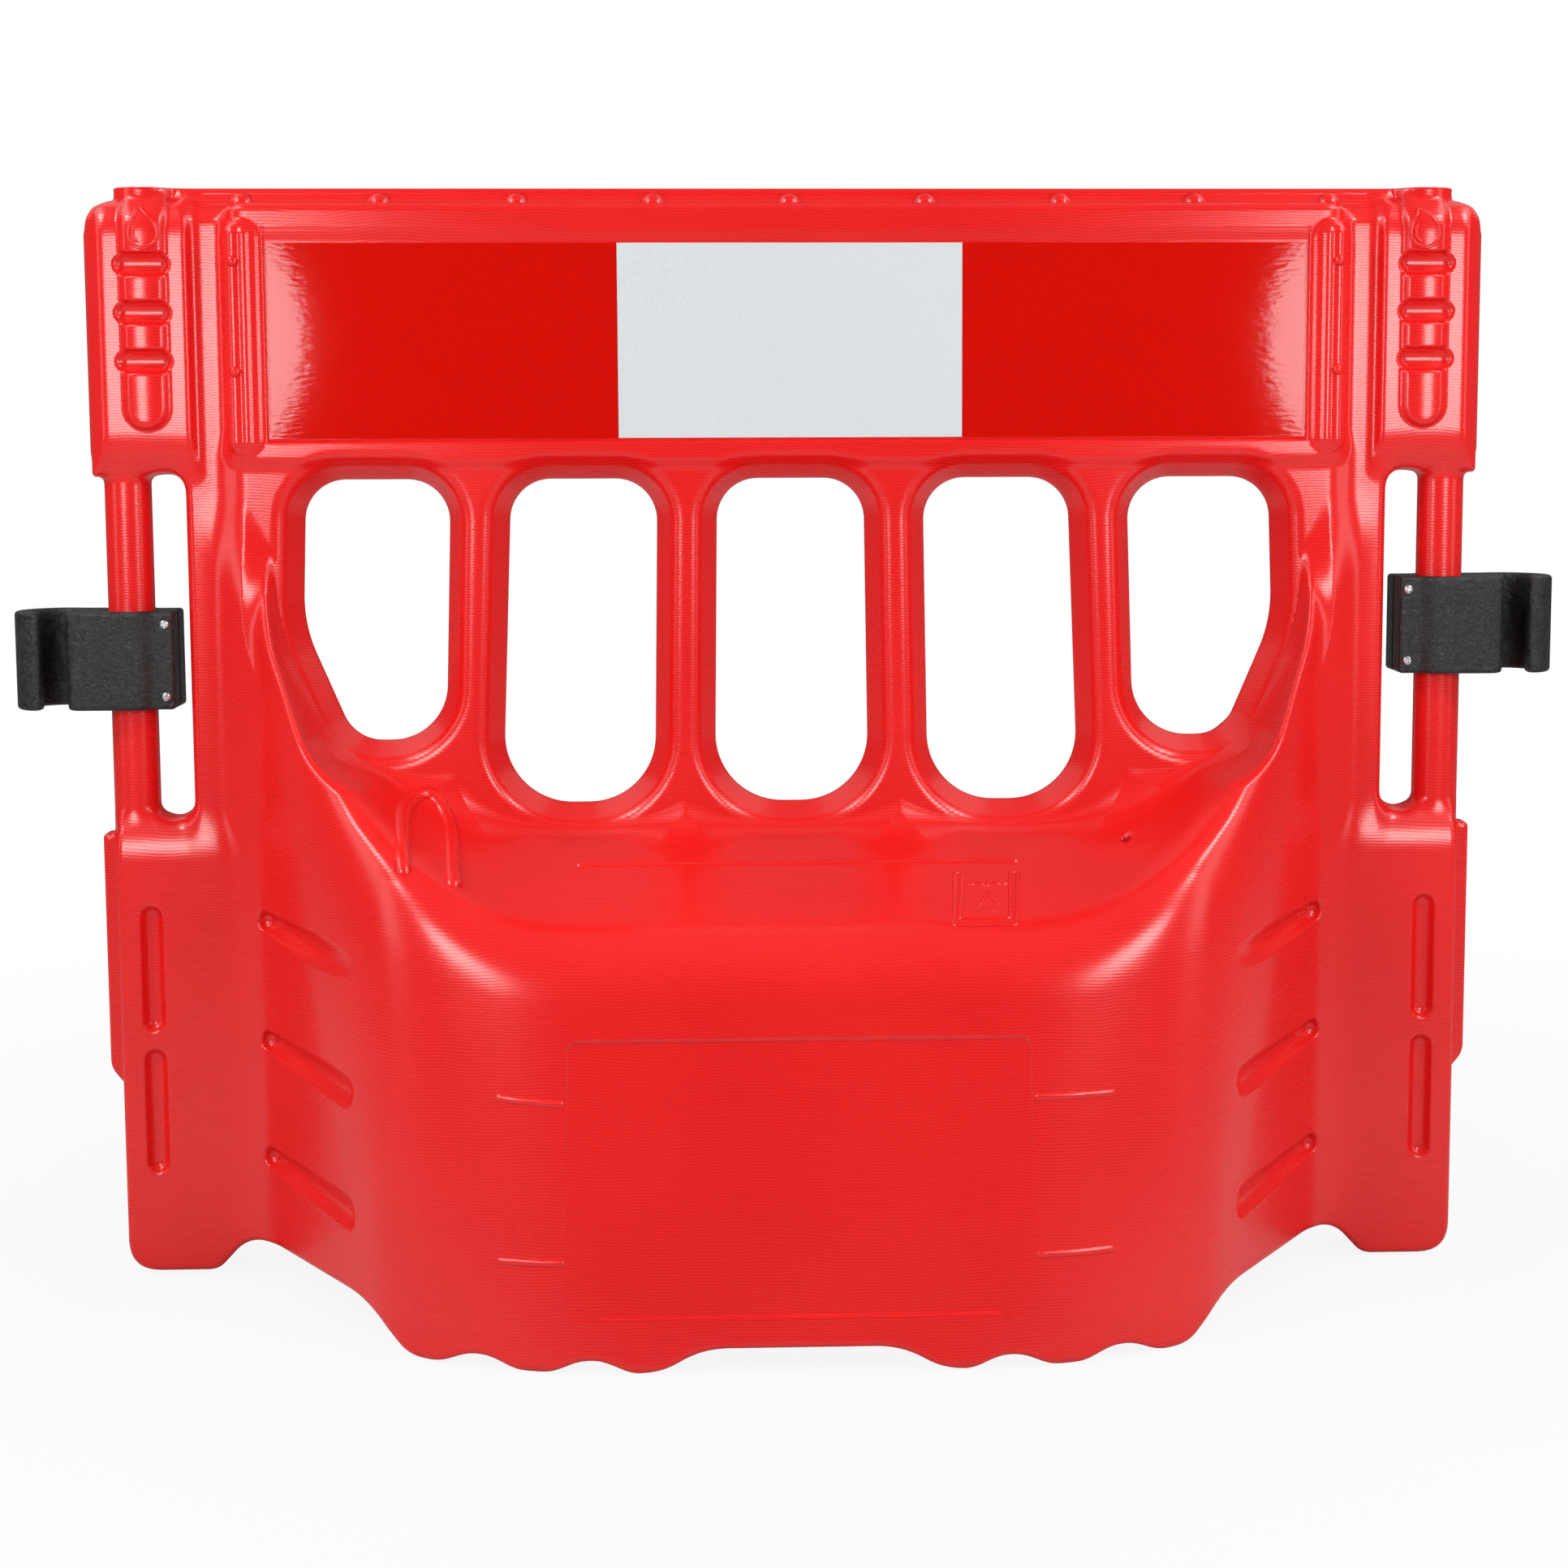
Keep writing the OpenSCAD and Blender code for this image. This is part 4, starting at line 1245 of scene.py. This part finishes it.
    def drilled(self, mesh: bpy.types.Mesh) -> bpy.types.Mesh:
        """Drill the overflow hole through the front of the roof.

        Args:
            mesh: The closed skin.

        Returns:
            The skin with the hole.
        """
        work = bmesh.new()
        radius = self.overflow_r * MM
        place = Matrix.Translation(Vector(self.overflow) * MM) @ Matrix.Rotation(math.radians(45), 4, "X")
        bmesh.ops.create_cone(work, cap_ends=True, segments=32, radius1=radius, radius2=radius,
                              depth=2 * self.drill_half * MM, matrix=place)
        bit = bpy.data.meshes.new("drill")
        work.to_mesh(bit)
        work.free()
        drill = new_object("drill", bit)
        skin = new_object("skin", mesh)
        cut = skin.modifiers.new("overflow", "BOOLEAN")
        cut.operation, cut.solver, cut.object = "DIFFERENCE", "EXACT", drill
        done = evaluated(skin)
        bpy.data.objects.remove(drill)
        return done

    def build(self, finish: bpy.types.Material) -> list[bpy.types.Object]:
        """Make and dress the moulding.

        Args:
            finish: Its material.

        Returns:
            The pieces that were made.
        """
        mesh = self.drilled(self.mesh())
        shade_by_field(mesh, self.whole)
        return [dressed("moulded_body", mesh, finish, Body.BARRIER, ("barrier_body",))]


# Repeated fittings


@dataclass
class FittingRows:
    """A node tree that repeats one fitting over a grid of places."""

    sizes: tuple = (
        ("Start", "NodeSocketVector"), ("Step U", "NodeSocketVector"), ("Count U", "NodeSocketInt"),
        ("Step V", "NodeSocketVector"), ("Count V", "NodeSocketInt"), ("Finish", "NodeSocketMaterial"))
    tree: bpy.types.NodeTree = field(init=False)

    def __post_init__(self) -> None:
        """Build the tree once."""
        self.tree = tree = bpy.data.node_groups.new("fitting_rows", "GeometryNodeTree")
        tree.interface.new_socket("Geometry", in_out="INPUT", socket_type="NodeSocketGeometry")
        tree.interface.new_socket("Geometry", in_out="OUTPUT", socket_type="NodeSocketGeometry")
        for name, kind in self.sizes:
            tree.interface.new_socket(name, in_out="INPUT", socket_type=kind)
        given = add_node(tree, "NodeGroupInput").outputs
        row = add_node(tree, "GeometryNodeMeshLine", {
            "Count": given["Count U"], "Start Location": given["Start"], "Offset": given["Step U"]})
        column = add_node(tree, "GeometryNodeMeshLine", {
            "Count": given["Count V"], "Offset": given["Step V"]})
        grid = add_node(tree, "GeometryNodeInstanceOnPoints", {
            "Points": row.outputs[0], "Instance": column.outputs[0]})
        places = add_node(tree, "GeometryNodeRealizeInstances", {"Geometry": grid.outputs[0]})
        items = add_node(tree, "GeometryNodeInstanceOnPoints", {
            "Points": places.outputs[0], "Instance": given["Geometry"]})
        solid = add_node(tree, "GeometryNodeRealizeInstances", {"Geometry": items.outputs[0]})
        done = add_node(tree, "GeometryNodeSetMaterial", {
            "Geometry": solid.outputs[0], "Material": given["Finish"]})
        add_node(tree, "NodeGroupOutput", {"Geometry": done.outputs[0]})

    def mesh(self, item: bpy.types.Mesh, finish: bpy.types.Material, start: Triple, step_u: Triple,
             count_u: int, step_v: Triple = (0.0, 0.0, 0.0), count_v: int = 1) -> bpy.types.Mesh:
        """Repeat a fitting.

        Args:
            item: The fitting's mesh, round the origin.
            finish: Its material.
            start: Place of the first one, in millimetres.
            step_u: Step along the first direction.
            count_u: How many along it.
            step_v: Step along the second direction.
            count_v: How many along it.

        Returns:
            One plain mesh with every copy.
        """
        obj = new_object("fitting", item)
        rows = obj.modifiers.new("rows", "NODES")
        rows.node_group = self.tree
        values = {"Start": start, "Step U": step_u, "Count U": count_u,
                  "Step V": step_v, "Count V": count_v, "Finish": finish}
        for name, value in values.items():
            key = self.tree.interface.items_tree[name].identifier
            rows[key] = tuple(c * MM for c in value) if isinstance(value, tuple) else value
        return evaluated(obj)


def cast(distance: Distance, low: Triple, high: Triple, cell: float, triangles: int) -> bpy.types.Mesh:
    """Make a small closed piece from its field.

    Args:
        distance: The field.
        low: Lowest corner of the space round the piece.
        high: Highest corner.
        cell: Size of a cell, in millimetres.
        triangles: About how many triangles to keep.

    Returns:
        The mesh, shaded by the field.
    """
    points, faces = thinned(*SurfaceNet(low, high, cell).quads(distance), triangles)
    mesh = mesh_of(on_skin(distance, points, cell / 4), faces)
    shade_by_field(mesh, distance, cell / 3)
    return mesh


def hexagon(x: np.ndarray, z: np.ndarray, flat: float) -> np.ndarray:
    """Distance across X and Z to a hexagon with the given half width across its flats."""
    x, z = np.abs(x), np.abs(z)
    return np.maximum(z, x * math.sin(math.radians(60)) + z * 0.5) - flat


@dataclass
class HookConnector:
    """A rubber clamp on an end tube, with an ear, two screws and a hook for the next barrier.

    Sizes are in millimetres from the tube's axis and the connector's lower end. A cast is what the
    function of that name takes: the corners of the space round a piece, its cell and its triangles.
    """

    side: Side
    low_z: float
    tube_x: float = 606.0
    height: float = 90.0
    half: float = 36.0
    bore_r: float = 21.2
    hook_x: float = 66.0
    hook_r: float = 39.95
    mouth: float = 24.0
    block_in: float = 22.0
    block_r: float = 14.0
    ear: Pair = (42.0, 28.0)
    ear_r: float = 3.0
    slit: float = 2.0
    edge: float = 4.0
    screw_x: float = 34.5
    screw_half: float = 33.0
    screw_r: float = 2.5
    screw_gap: float = 0.25
    head: Pair = (4.75, 3.2)
    cross: Triple = (1.3, 5.6, 1.8)
    nut: Pair = (8.0, 4.0)
    nut_gap: float = 0.05
    nut_chamfer: float = 0.58
    pocket_gap: float = 0.15
    rubber_cast: tuple = ((-46.0, -40.0, -4.0), (110.0, 44.0, 94.0), 1.25, 16000)
    screw_cast: tuple = ((-6.0, -32.0, -6.0), (6.0, 30.0, 6.0), 0.3, 4000)
    nut_cast: tuple = ((-6.0, 22.0, -6.0), (6.0, 30.0, 6.0), 0.3, 1200)

    def profile(self, x: np.ndarray, y: np.ndarray) -> np.ndarray:
        """Distance to the connector's outline as seen from above."""
        plan = (x, y, np.zeros_like(x))
        block_x = (-self.block_in, self.hook_x - self.mouth / 2)
        block = Slab(block_x, self.half, (-TALL, TALL), self.block_r).distance(plan)
        ring = np.hypot(x - self.hook_x, y)
        hook = smooth_max(ring - self.hook_r, -self.half - y, 10.0)
        ear = Slab((-self.ear[0], 0.0), self.ear[1], (-TALL, TALL), self.ear_r).distance(plan)
        body = smooth_min(smooth_min(block, hook, 7.0), ear, 5.0)
        mouth = np.maximum(np.abs(x - self.hook_x) - self.mouth / 2, y)
        body = smooth_max(body, -mouth, 7.0)
        body = smooth_max(body, self.bore_r - np.minimum(ring, np.hypot(x, y)), 2.0)
        return smooth_max(body, -np.maximum(np.abs(y) - self.slit / 2, x), 1.5)

    def rubber(self, p: Points) -> np.ndarray:
        """Distance to the rubber moulding, in its own right-hand place."""
        x, y, z = p
        body = smooth_max(self.profile(x, y), np.abs(z - self.height / 2) - self.height / 2, self.edge)
        up = np.abs(z - self.height / 2) - self.screw_half
        body = np.maximum(body, self.screw_r + self.screw_gap - np.hypot(x + self.screw_x, up))
        pocket = hexagon(x + self.screw_x, up, self.nut[0] / 2 + self.pocket_gap)
        return np.maximum(body, -np.maximum(pocket, self.ear[1] - self.nut[1] - y))

    def screw(self, p: Points) -> np.ndarray:
        """Distance to a pan-head screw with a cross recess, its axis along Y."""
        x, y, z = p
        (head_r, head_h), seat = self.head, -self.ear[1]
        around = np.hypot(x, z)
        shank = np.maximum(around - self.screw_r, np.abs(y) - self.ear[1])
        dome = (head_r ** 2 + head_h ** 2) / (2 * head_h)
        head = np.sqrt(around ** 2 + (y - seat + head_h - dome) ** 2) - dome
        head = smooth_max(head, around - head_r, 0.8)
        head = smooth_max(head, np.abs(y - seat + head_h / 2) - head_h / 2, 0.5)
        wide, long, deep = self.cross
        arms = np.minimum(np.maximum(np.abs(x) - wide / 2, np.abs(z) - long / 2),
                          np.maximum(np.abs(z) - wide / 2, np.abs(x) - long / 2))
        return smooth_max(np.minimum(shank, head), -np.maximum(arms, y - seat + head_h - deep), 0.4)

    def nut_field(self, p: Points) -> np.ndarray:
        """Distance to a chamfered hexagon nut in the ear's rear."""
        x, y, z = p
        flat, thick = self.nut
        around = np.hypot(x, z)
        body = np.maximum(hexagon(x, z, flat / 2), np.abs(y - self.ear[1] + thick / 2) - thick / 2)
        body = np.maximum(body, slanted(around - flat / 2, y - self.ear[1], 1.0, self.nut_chamfer))
        return np.maximum(body, self.screw_r + self.nut_gap - around)

    def placed(self, mesh: bpy.types.Mesh) -> bpy.types.Mesh:
        """Move the right-hand moulding to its tube, mirrored for the left one."""
        place = Matrix.Translation((self.side.value * self.tube_x * MM, 0.0, self.low_z * MM))
        mesh.transform(place @ Matrix.Scale(self.side.value, 4, (1.0, 0.0, 0.0)))
        if self.side is Side.LEFT:
            mesh.flip_normals()
        shade_by_field(mesh, self.whole)
        return mesh

    def whole(self, p: Points) -> np.ndarray:
        """Distance to the moulding in the barrier's own place."""
        return self.rubber((p[0] * self.side.value - self.tube_x, p[1], p[2] - self.low_z))

    def build(self, rubber: bpy.types.Material, zinc: bpy.types.Material,
              rows: FittingRows) -> list[bpy.types.Object]:
        """Make and dress the connector.

        Args:
            rubber: Finish of the moulding.
            zinc: Finish of screws and nuts.
            rows: The tree that repeats fittings.

        Returns:
            The moulding, its screws and its nuts.
        """
        name = self.side.name.lower()
        body = Body.LEFT_HOOK if self.side is Side.LEFT else Body.RIGHT_HOOK
        moulding = self.placed(cast(self.rubber, *self.rubber_cast))
        pieces = [dressed(f"{name}_hook_moulding", moulding, rubber, body,
                          (f"{name}_connector",))]
        low_screw_z = self.low_z + self.height / 2 - self.screw_half
        first = (self.side.value * (self.tube_x - self.screw_x), 0.0, low_screw_z)
        step = (0.0, 0.0, 2 * self.screw_half)
        fittings = (("screw", self.screw, self.screw_cast), ("nut", self.nut_field, self.nut_cast))
        for kind, shape, space in fittings:
            mesh = rows.mesh(cast(shape, *space), zinc, first, step, 2)
            nodes = [f"{name}_{end}_{kind}" for end in ("upper", "lower")]
            pieces.append(dressed(f"{name}_clamp_{kind}s", mesh, zinc, body, nodes))
        return pieces


# Raised marks of the moulding


@dataclass
class MouldMarks:
    """Small raised forms on the skin: domes, bosses, the level line, the fill sign, the arch and the steps.

    Paths are X with Y on the roof, or X with Z on the front, in millimetres. A bead is the radius of
    a line's section and how far it stands proud.
    """

    shell: BarrierShell
    dome_r: float = 11.0
    dome_pitch: float = 123.3
    dome_y: float = 15.5
    dome_sunk: float = 1.0
    dome_side: int = 4
    boss_r: float = 5.5
    boss_x: float = 498.0
    boss_y: float = 44.0
    boss_z: Pair = (835.0, 933.0)
    ring_sides: int = 12
    spacing: float = 3.0
    over_roof: float = 470.0
    before_front: float = -380.0
    tip_share: float = 0.35
    level_line: tuple = ((-197.0, -112.0), (203.0, -111.0))
    level_bead: Pair = (4.0, 2.2)
    fill_box: tuple = (
        (142.0, -134.0), (134.0, -232.0), (188.0, -232.0), (198.5, -134.0), (192.0, -136.0),
        (183.5, -222.0), (140.0, -222.0), (148.5, -136.0), (142.0, -134.0))
    fill_wave: tuple = (
        (149.0, -152.0), (155.0, -160.0), (161.0, -150.0), (168.0, -162.0), (175.0, -150.0),
        (182.0, -160.0), (190.0, -154.0))
    fill_bead: Pair = (2.2, 1.4)
    fill_arrow: tuple = ((159.0, -198.0), (169.0, -174.0), (176.0, -198.0))
    fill_stems: tuple = (((164.0, -200.0), (163.0, -212.0)), ((171.0, -200.0), (170.0, -212.0)))
    arrow_bead: Pair = (2.0, 1.3)
    arch: tuple = (
        (-337.5, -211.0), (-343.0, -165.0), (-351.0, -100.0), (-349.0, -62.0), (-338.0, -45.0),
        (-323.0, -45.0), (-312.0, -62.0), (-306.0, -110.0), (-295.0, -203.0))
    arch_bead: Pair = (8.0, 4.4)
    arch_rounds: int = 3
    steps: tuple = (((-258.0, 226.0), (-197.0, 221.0)), ((-258.0, 91.0), (-197.0, 91.0)),
                    ((197.0, 223.0), (270.0, 223.0)), ((197.0, 93.0), (268.0, 93.0)))
    step_bead: Pair = (4.0, 1.6)
    drop: tuple = (
        (-5.0, 20.0), (-8.0, 11.0), (-13.0, 2.0), (-13.0, -9.0), (-6.0, -17.0), (4.0, -17.5),
        (12.0, -11.0), (13.0, 1.0), (4.0, 12.0), (-5.0, 20.0))
    drop_shine: tuple = ((-7.5, 4.0), (-9.0, -4.0), (-7.5, -10.0), (-2.5, -12.5))
    drop_at: Pair = (577.0, 962.0)
    drop_bead: Pair = (2.0, 1.5)
    drop_rounds: int = 2

    def path(self, corners: Sequence[Pair], facing: Facing, rounds: int) -> tuple[np.ndarray, np.ndarray]:
        """Lay a line on the skin.

        Args:
            corners: Its corners, on the roof or the front.
            facing: The way that it is laid.
            rounds: How often its corners are cut to round them.

        Returns:
            Points along it and the skin's normals there.
        """
        knots = np.array(corners, dtype=np.float64)
        for _ in range(rounds):
            before, after = knots[:-1], knots[1:]
            cut = np.stack((0.75 * before + 0.25 * after, 0.25 * before + 0.75 * after), 1).reshape(-1, 2)
            knots = np.concatenate((knots[:1], cut, knots[-1:]))
        run = np.concatenate(([0.0], np.cumsum(np.linalg.norm(np.diff(knots, axis=0), axis=1))))
        at = np.linspace(0.0, run[-1], max(4, int(run[-1] / self.spacing)))
        u, v = (np.interp(at, run, knots[:, n]) for n in (0, 1))
        if facing is Facing.ROOF:
            start = (u, v, np.full_like(u, self.over_roof))
        else:
            start = (u, np.full_like(u, self.before_front), v)
        return laid(self.shell.quarter, np.stack(start, -1), facing)

    def bead(self, corners: Sequence[Pair], facing: Facing, size: Pair,
             rounds: int = 0) -> tuple[np.ndarray, np.ndarray]:
        """Raise a round-topped line on the skin.

        Args:
            corners: Its corners, on the roof or the front.
            facing: The way that it is laid.
            size: Radius of its section, and how far it stands proud.
            rounds: How often its corners are cut to round them.

        Returns:
            Points and triangles of a closed bead.
        """
        radius, rise = size
        spine, normal = self.path(corners, facing, rounds)
        along = np.gradient(spine, axis=0)
        along /= np.linalg.norm(along, axis=1)[:, None]
        side = np.cross(normal, along)
        turn = np.linspace(0.0, 2 * math.pi, self.ring_sides, endpoint=False)
        reach = np.full(len(spine), radius)
        reach[[0, -1]] = self.tip_share * radius
        middle = spine + normal * (rise - radius)
        rings = middle[:, None] + reach[:, None, None] * (
            side[:, None] * np.cos(turn)[:, None] + normal[:, None] * np.sin(turn)[:, None])
        tips = middle[[0, -1]] + along[[0, -1]] * np.array([[-1.0], [1.0]]) * radius / 3
        points = np.concatenate((rings.reshape(-1, 3), tips))
        count, n = len(spine), self.ring_sides
        first = np.arange(count - 1) * n
        last = (count - 1) * n
        faces = []
        for i in range(n):
            j = (i + 1) % n
            faces.append(np.stack((first + i, first + n + i, first + n + j), -1))
            faces.append(np.stack((first + i, first + n + j, first + j), -1))
            faces.append(np.array([(count * n, i, j), (count * n + 1, last + j, last + i)]))
        return points, np.concatenate(faces)

    def lines(self) -> bpy.types.Mesh:
        """Make every raised line.

        Returns:
            One mesh of closed beads.
        """
        roof = [(self.level_line, self.level_bead), (self.fill_box, self.fill_bead),
                (self.fill_wave, self.fill_bead), (self.fill_arrow, self.arrow_bead)]
        roof += [(stem, self.arrow_bead) for stem in self.fill_stems]
        beads = [self.bead(corners, Facing.ROOF, size) for corners, size in roof]
        beads.append(self.bead(self.arch, Facing.ROOF, self.arch_bead, self.arch_rounds))
        beads += [self.bead(step, Facing.FRONT, self.step_bead) for step in self.steps]
        x, z = self.drop_at
        for end in Side:
            for mark in (self.drop, self.drop_shine):
                corners = [(end.value * x + u, z + v) for u, v in mark]
                beads.append(self.bead(corners, Facing.FRONT, self.drop_bead, self.drop_rounds))
        starts = np.cumsum([0] + [len(points) for points, _ in beads[:-1]])
        points = np.concatenate([points for points, _ in beads])
        return mesh_of(points, np.concatenate([faces + start for (_, faces), start in zip(beads, starts)]))

    def ball(self, radius: float) -> bpy.types.Mesh:
        """Make a ball, part of which stands out of the skin."""
        work = bmesh.new()
        bmesh.ops.create_uvsphere(work, u_segments=32, v_segments=20, radius=radius * MM)
        mesh = bpy.data.meshes.new("ball")
        work.to_mesh(mesh)
        work.free()
        mesh.shade_smooth()
        return mesh

    def build(self, finish: bpy.types.Material, rows: FittingRows) -> list[bpy.types.Object]:
        """Make and dress the marks.

        Args:
            finish: The moulding's material.
            rows: The tree that repeats fittings.

        Returns:
            The pieces that were made.
        """
        first_dome = (-self.dome_side * self.dome_pitch, -self.dome_y, self.shell.block.z[1] - self.dome_sunk)
        domes = rows.mesh(self.ball(self.dome_r), finish, first_dome, (self.dome_pitch, 0.0, 0.0),
                          2 * self.dome_side + 1, (0.0, 2 * self.dome_y, 0.0), 2)
        low, high = self.boss_z
        ball = self.ball(self.boss_r)
        across_step, up_step = (2 * self.boss_x, 0.0, 0.0), (0.0, 0.0, high - low)
        front, rear = (
            rows.mesh(ball.copy(), finish, (-self.boss_x, y, low), across_step, 2, up_step, 2)
            for y in (-self.boss_y, self.boss_y))
        named = {"moulded_lines": self.lines(), "moulded_domes": domes,
                 "front_bosses": front, "rear_bosses": rear}
        return [dressed(name, mesh, finish, Body.BARRIER) for name, mesh in named.items()]


# Stage


@dataclass
class Studio:
    """Camera, lamps, floor and backdrop, in metres and watts.

    Attributes:
        focal_px: The camera's focal length, in pixels of the photograph.
        frame_px: Width of the photograph.
        round_lamps: Place and aim of each round lamp.
        pairs: Name, right-hand place, size and power of the lamps that stand at both ends.
        sky_glossy: Light that a mirror sees low and overhead.
        floor_fade: Where the floor starts and ends its fade to white.
        floor_white: How white the camera sees it there.
    """

    focal_px: float = 3406.0
    frame_px: float = 1932.0
    sensor: float = 36.0
    shift: Pair = (-0.03727, -0.03313)
    eye: Triple = (-0.05127, -2.56293, 0.794)
    right: Triple = (0.99923881, -0.0388987, -0.00294787)
    down: Triple = (-0.00734357, -0.11335065, -0.99352791)
    aim: Triple = (0.0, 0.0, 0.6)
    round_lamps: tuple = (
        ((-0.849, -1.212, 0.891), (-0.4, 0.0, 0.65)),
        ((0.894, -1.202, 0.89), (0.4, 0.0, 0.65)))
    round_size: Pair = (0.47, 0.47)
    round_watts: float = 6.6
    pairs: tuple = (
        ("top_lamp", (1.75, -0.15, 2.5), (1.1, 1.1), 10.0),
        ("front_lamp", (1.66, -1.1, 2.45), (0.55, 0.55), 17.5),
        ("back_lamp", (1.75, 1.45, 2.5), (2.2, 2.2), 8.0),
        ("strip", (2.3, -1.0, 1.3), (0.5, 1.8), 6.0))
    sky_soft: float = 0.22
    sky_glossy: Pair = (0.12, 0.35)
    sky_from: Pair = (0.5, 1.0)
    floor_r: float = 9.0
    floor_tone: str = "#D0D0D0"
    floor_rough: float = 0.9
    floor_fade: Pair = (0.6, 1.9)
    floor_white: Pair = (0.9, 1.0)

    def camera(self) -> None:
        """Set the camera at the photograph's viewing angle."""
        data = bpy.data.cameras.new("view")
        data.lens = self.focal_px / self.frame_px * self.sensor
        data.sensor_width = self.sensor
        data.shift_x, data.shift_y = self.shift
        data.clip_end = 100.0
        obj = bpy.data.objects.new("view", data)
        bpy.context.scene.collection.objects.link(obj)
        x, y = Vector(self.right).normalized(), -Vector(self.down).normalized()
        z = x.cross(y).normalized()
        y = z.cross(x)
        obj.matrix_world = Matrix.Translation(self.eye) @ Matrix((x, y, z)).transposed().to_4x4()
        bpy.context.scene.camera = obj

    def lamp(self, name: str, place: Triple, aim: Triple, size: Pair, watts: float,
             shape: str = "RECTANGLE") -> None:
        """Add a soft lamp.

        Args:
            name: The lamp's name.
            place: Where it stands.
            aim: Where it points.
            size: Its width and height.
            watts: Its power.
            shape: Outline of its face.
        """
        data = bpy.data.lights.new(name, "AREA")
        data.shape, data.size, data.size_y, data.energy = shape, size[0], size[1], watts
        obj = bpy.data.objects.new(name, data)
        obj.location = place
        obj.rotation_euler = (Vector(aim) - Vector(place)).to_track_quat("-Z", "Y").to_euler()
        bpy.context.scene.collection.objects.link(obj)

    def light(self) -> None:
        """Set plain soft studio lamps."""
        for end, (place, aim) in zip(Side, self.round_lamps):
            self.lamp(f"{end.name.lower()}_round_lamp", place, aim, self.round_size, self.round_watts, "DISK")
        for name, (x, y, z), size, watts in self.pairs:
            for end in Side:
                self.lamp(f"{end.name.lower()}_{name}", (end.value * x, y, z), self.aim, size, watts)

    def sky(self) -> None:
        """Set a world that is white to the camera, dim on the part and brighter overhead in gloss."""
        world = bpy.data.worlds.new("white_studio")
        bpy.context.scene.world = world
        world.use_nodes = True
        tree = world.node_tree
        path = add_node(tree, "ShaderNodeLightPath").outputs
        way = add_node(tree, "ShaderNodeTexCoord").outputs["Generated"]
        height = add_node(tree, "ShaderNodeSeparateXYZ", {0: way}).outputs["Z"]
        (low, high), (dim, bright) = self.sky_from, self.sky_glossy
        ceiling = add_node(tree, "ShaderNodeMapRange", {
            "Value": height, "From Min": low, "From Max": high, "To Min": dim, "To Max": bright})
        mirrored = add_node(tree, "ShaderNodeMath", {
            0: path["Is Glossy Ray"], 1: path["Is Transmission Ray"]}, operation="MAXIMUM")
        shown = add_node(tree, "ShaderNodeMix", {
            0: mirrored.outputs[0], 2: self.sky_soft, 3: ceiling.outputs[0]})
        power = add_node(tree, "ShaderNodeMix", {0: path["Is Camera Ray"], 2: shown.outputs[0], 3: 1.0})
        set_inputs(tree, tree.nodes["Background"], {"Color": WHITE, "Strength": power.outputs[0]})

    def floor(self) -> None:
        """Lay a pale floor that keeps the shadow and fades into the white far away."""
        mesh = bpy.data.meshes.new("floor")
        work = bmesh.new()
        bmesh.ops.create_circle(work, cap_ends=True, radius=self.floor_r, segments=96)
        work.to_mesh(mesh)
        work.free()
        shading = Shading("pale_floor")
        tree = shading.tree
        mesh.materials.append(shading.finished({
            "Base Color": linear(self.floor_tone), "Roughness": self.floor_rough}))
        reach = add_node(tree, "ShaderNodeVectorMath", {0: shading.here["Object"]}, operation="LENGTH")
        fade = shading.ramp(reach.outputs["Value"], self.floor_fade)
        seen = add_node(tree, "ShaderNodeLightPath").outputs["Is Camera Ray"]
        share = shading.maths("MULTIPLY", shading.ramp(fade, end=self.floor_white), seen)
        white = add_node(tree, "ShaderNodeEmission", {"Color": WHITE, "Strength": 1.0})
        mixed = add_node(tree, "ShaderNodeMixShader", {
            0: share, 1: shading.shader.outputs[0], 2: white.outputs[0]})
        set_inputs(tree, tree.nodes["Material Output"], {"Surface": mixed.outputs[0]})
        new_object("floor", mesh)

    def build(self) -> None:
        """Set up the whole stage."""
        bpy.context.scene.view_settings.view_transform = "Standard"
        self.camera()
        self.light()
        self.sky()
        self.floor()


def main() -> None:
    """Build the barrier panel piece by piece."""
    logging.basicConfig(level=logging.INFO, format="%(name)s: %(message)s")
    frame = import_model()
    hdpe = BlowMouldedHdpe().material()
    red = ReflectiveSheet("red_reflective_sheeting", "#CC0A00", "#A80800").material()
    white = ReflectiveSheet("white_reflective_sheeting", "#D4DADC", "#BCC4C8").material()
    rubber = MouldedRubber().material()
    zinc = ZincPlatedSteel().material()
    finishes = {"white": white, "sheet": red, "connector": rubber}
    for name, node in frame["nodes"].items():
        node.data.materials.clear()
        node.data.materials.append(next((f for word, f in finishes.items() if word in name), zinc))
    rows = FittingRows()
    shell = BarrierShell()
    pieces = shell.build(hdpe) + MouldMarks(shell).build(hdpe, rows)
    for connector in (HookConnector(Side.LEFT, 529.0), HookConnector(Side.RIGHT, 555.0)):
        pieces += connector.build(rubber, zinc, rows)
    for piece in pieces:
        LOG.info("%s: %d faces", piece.name, len(piece.data.polygons))
    Studio().build()


if __name__ == "__main__":
    main()
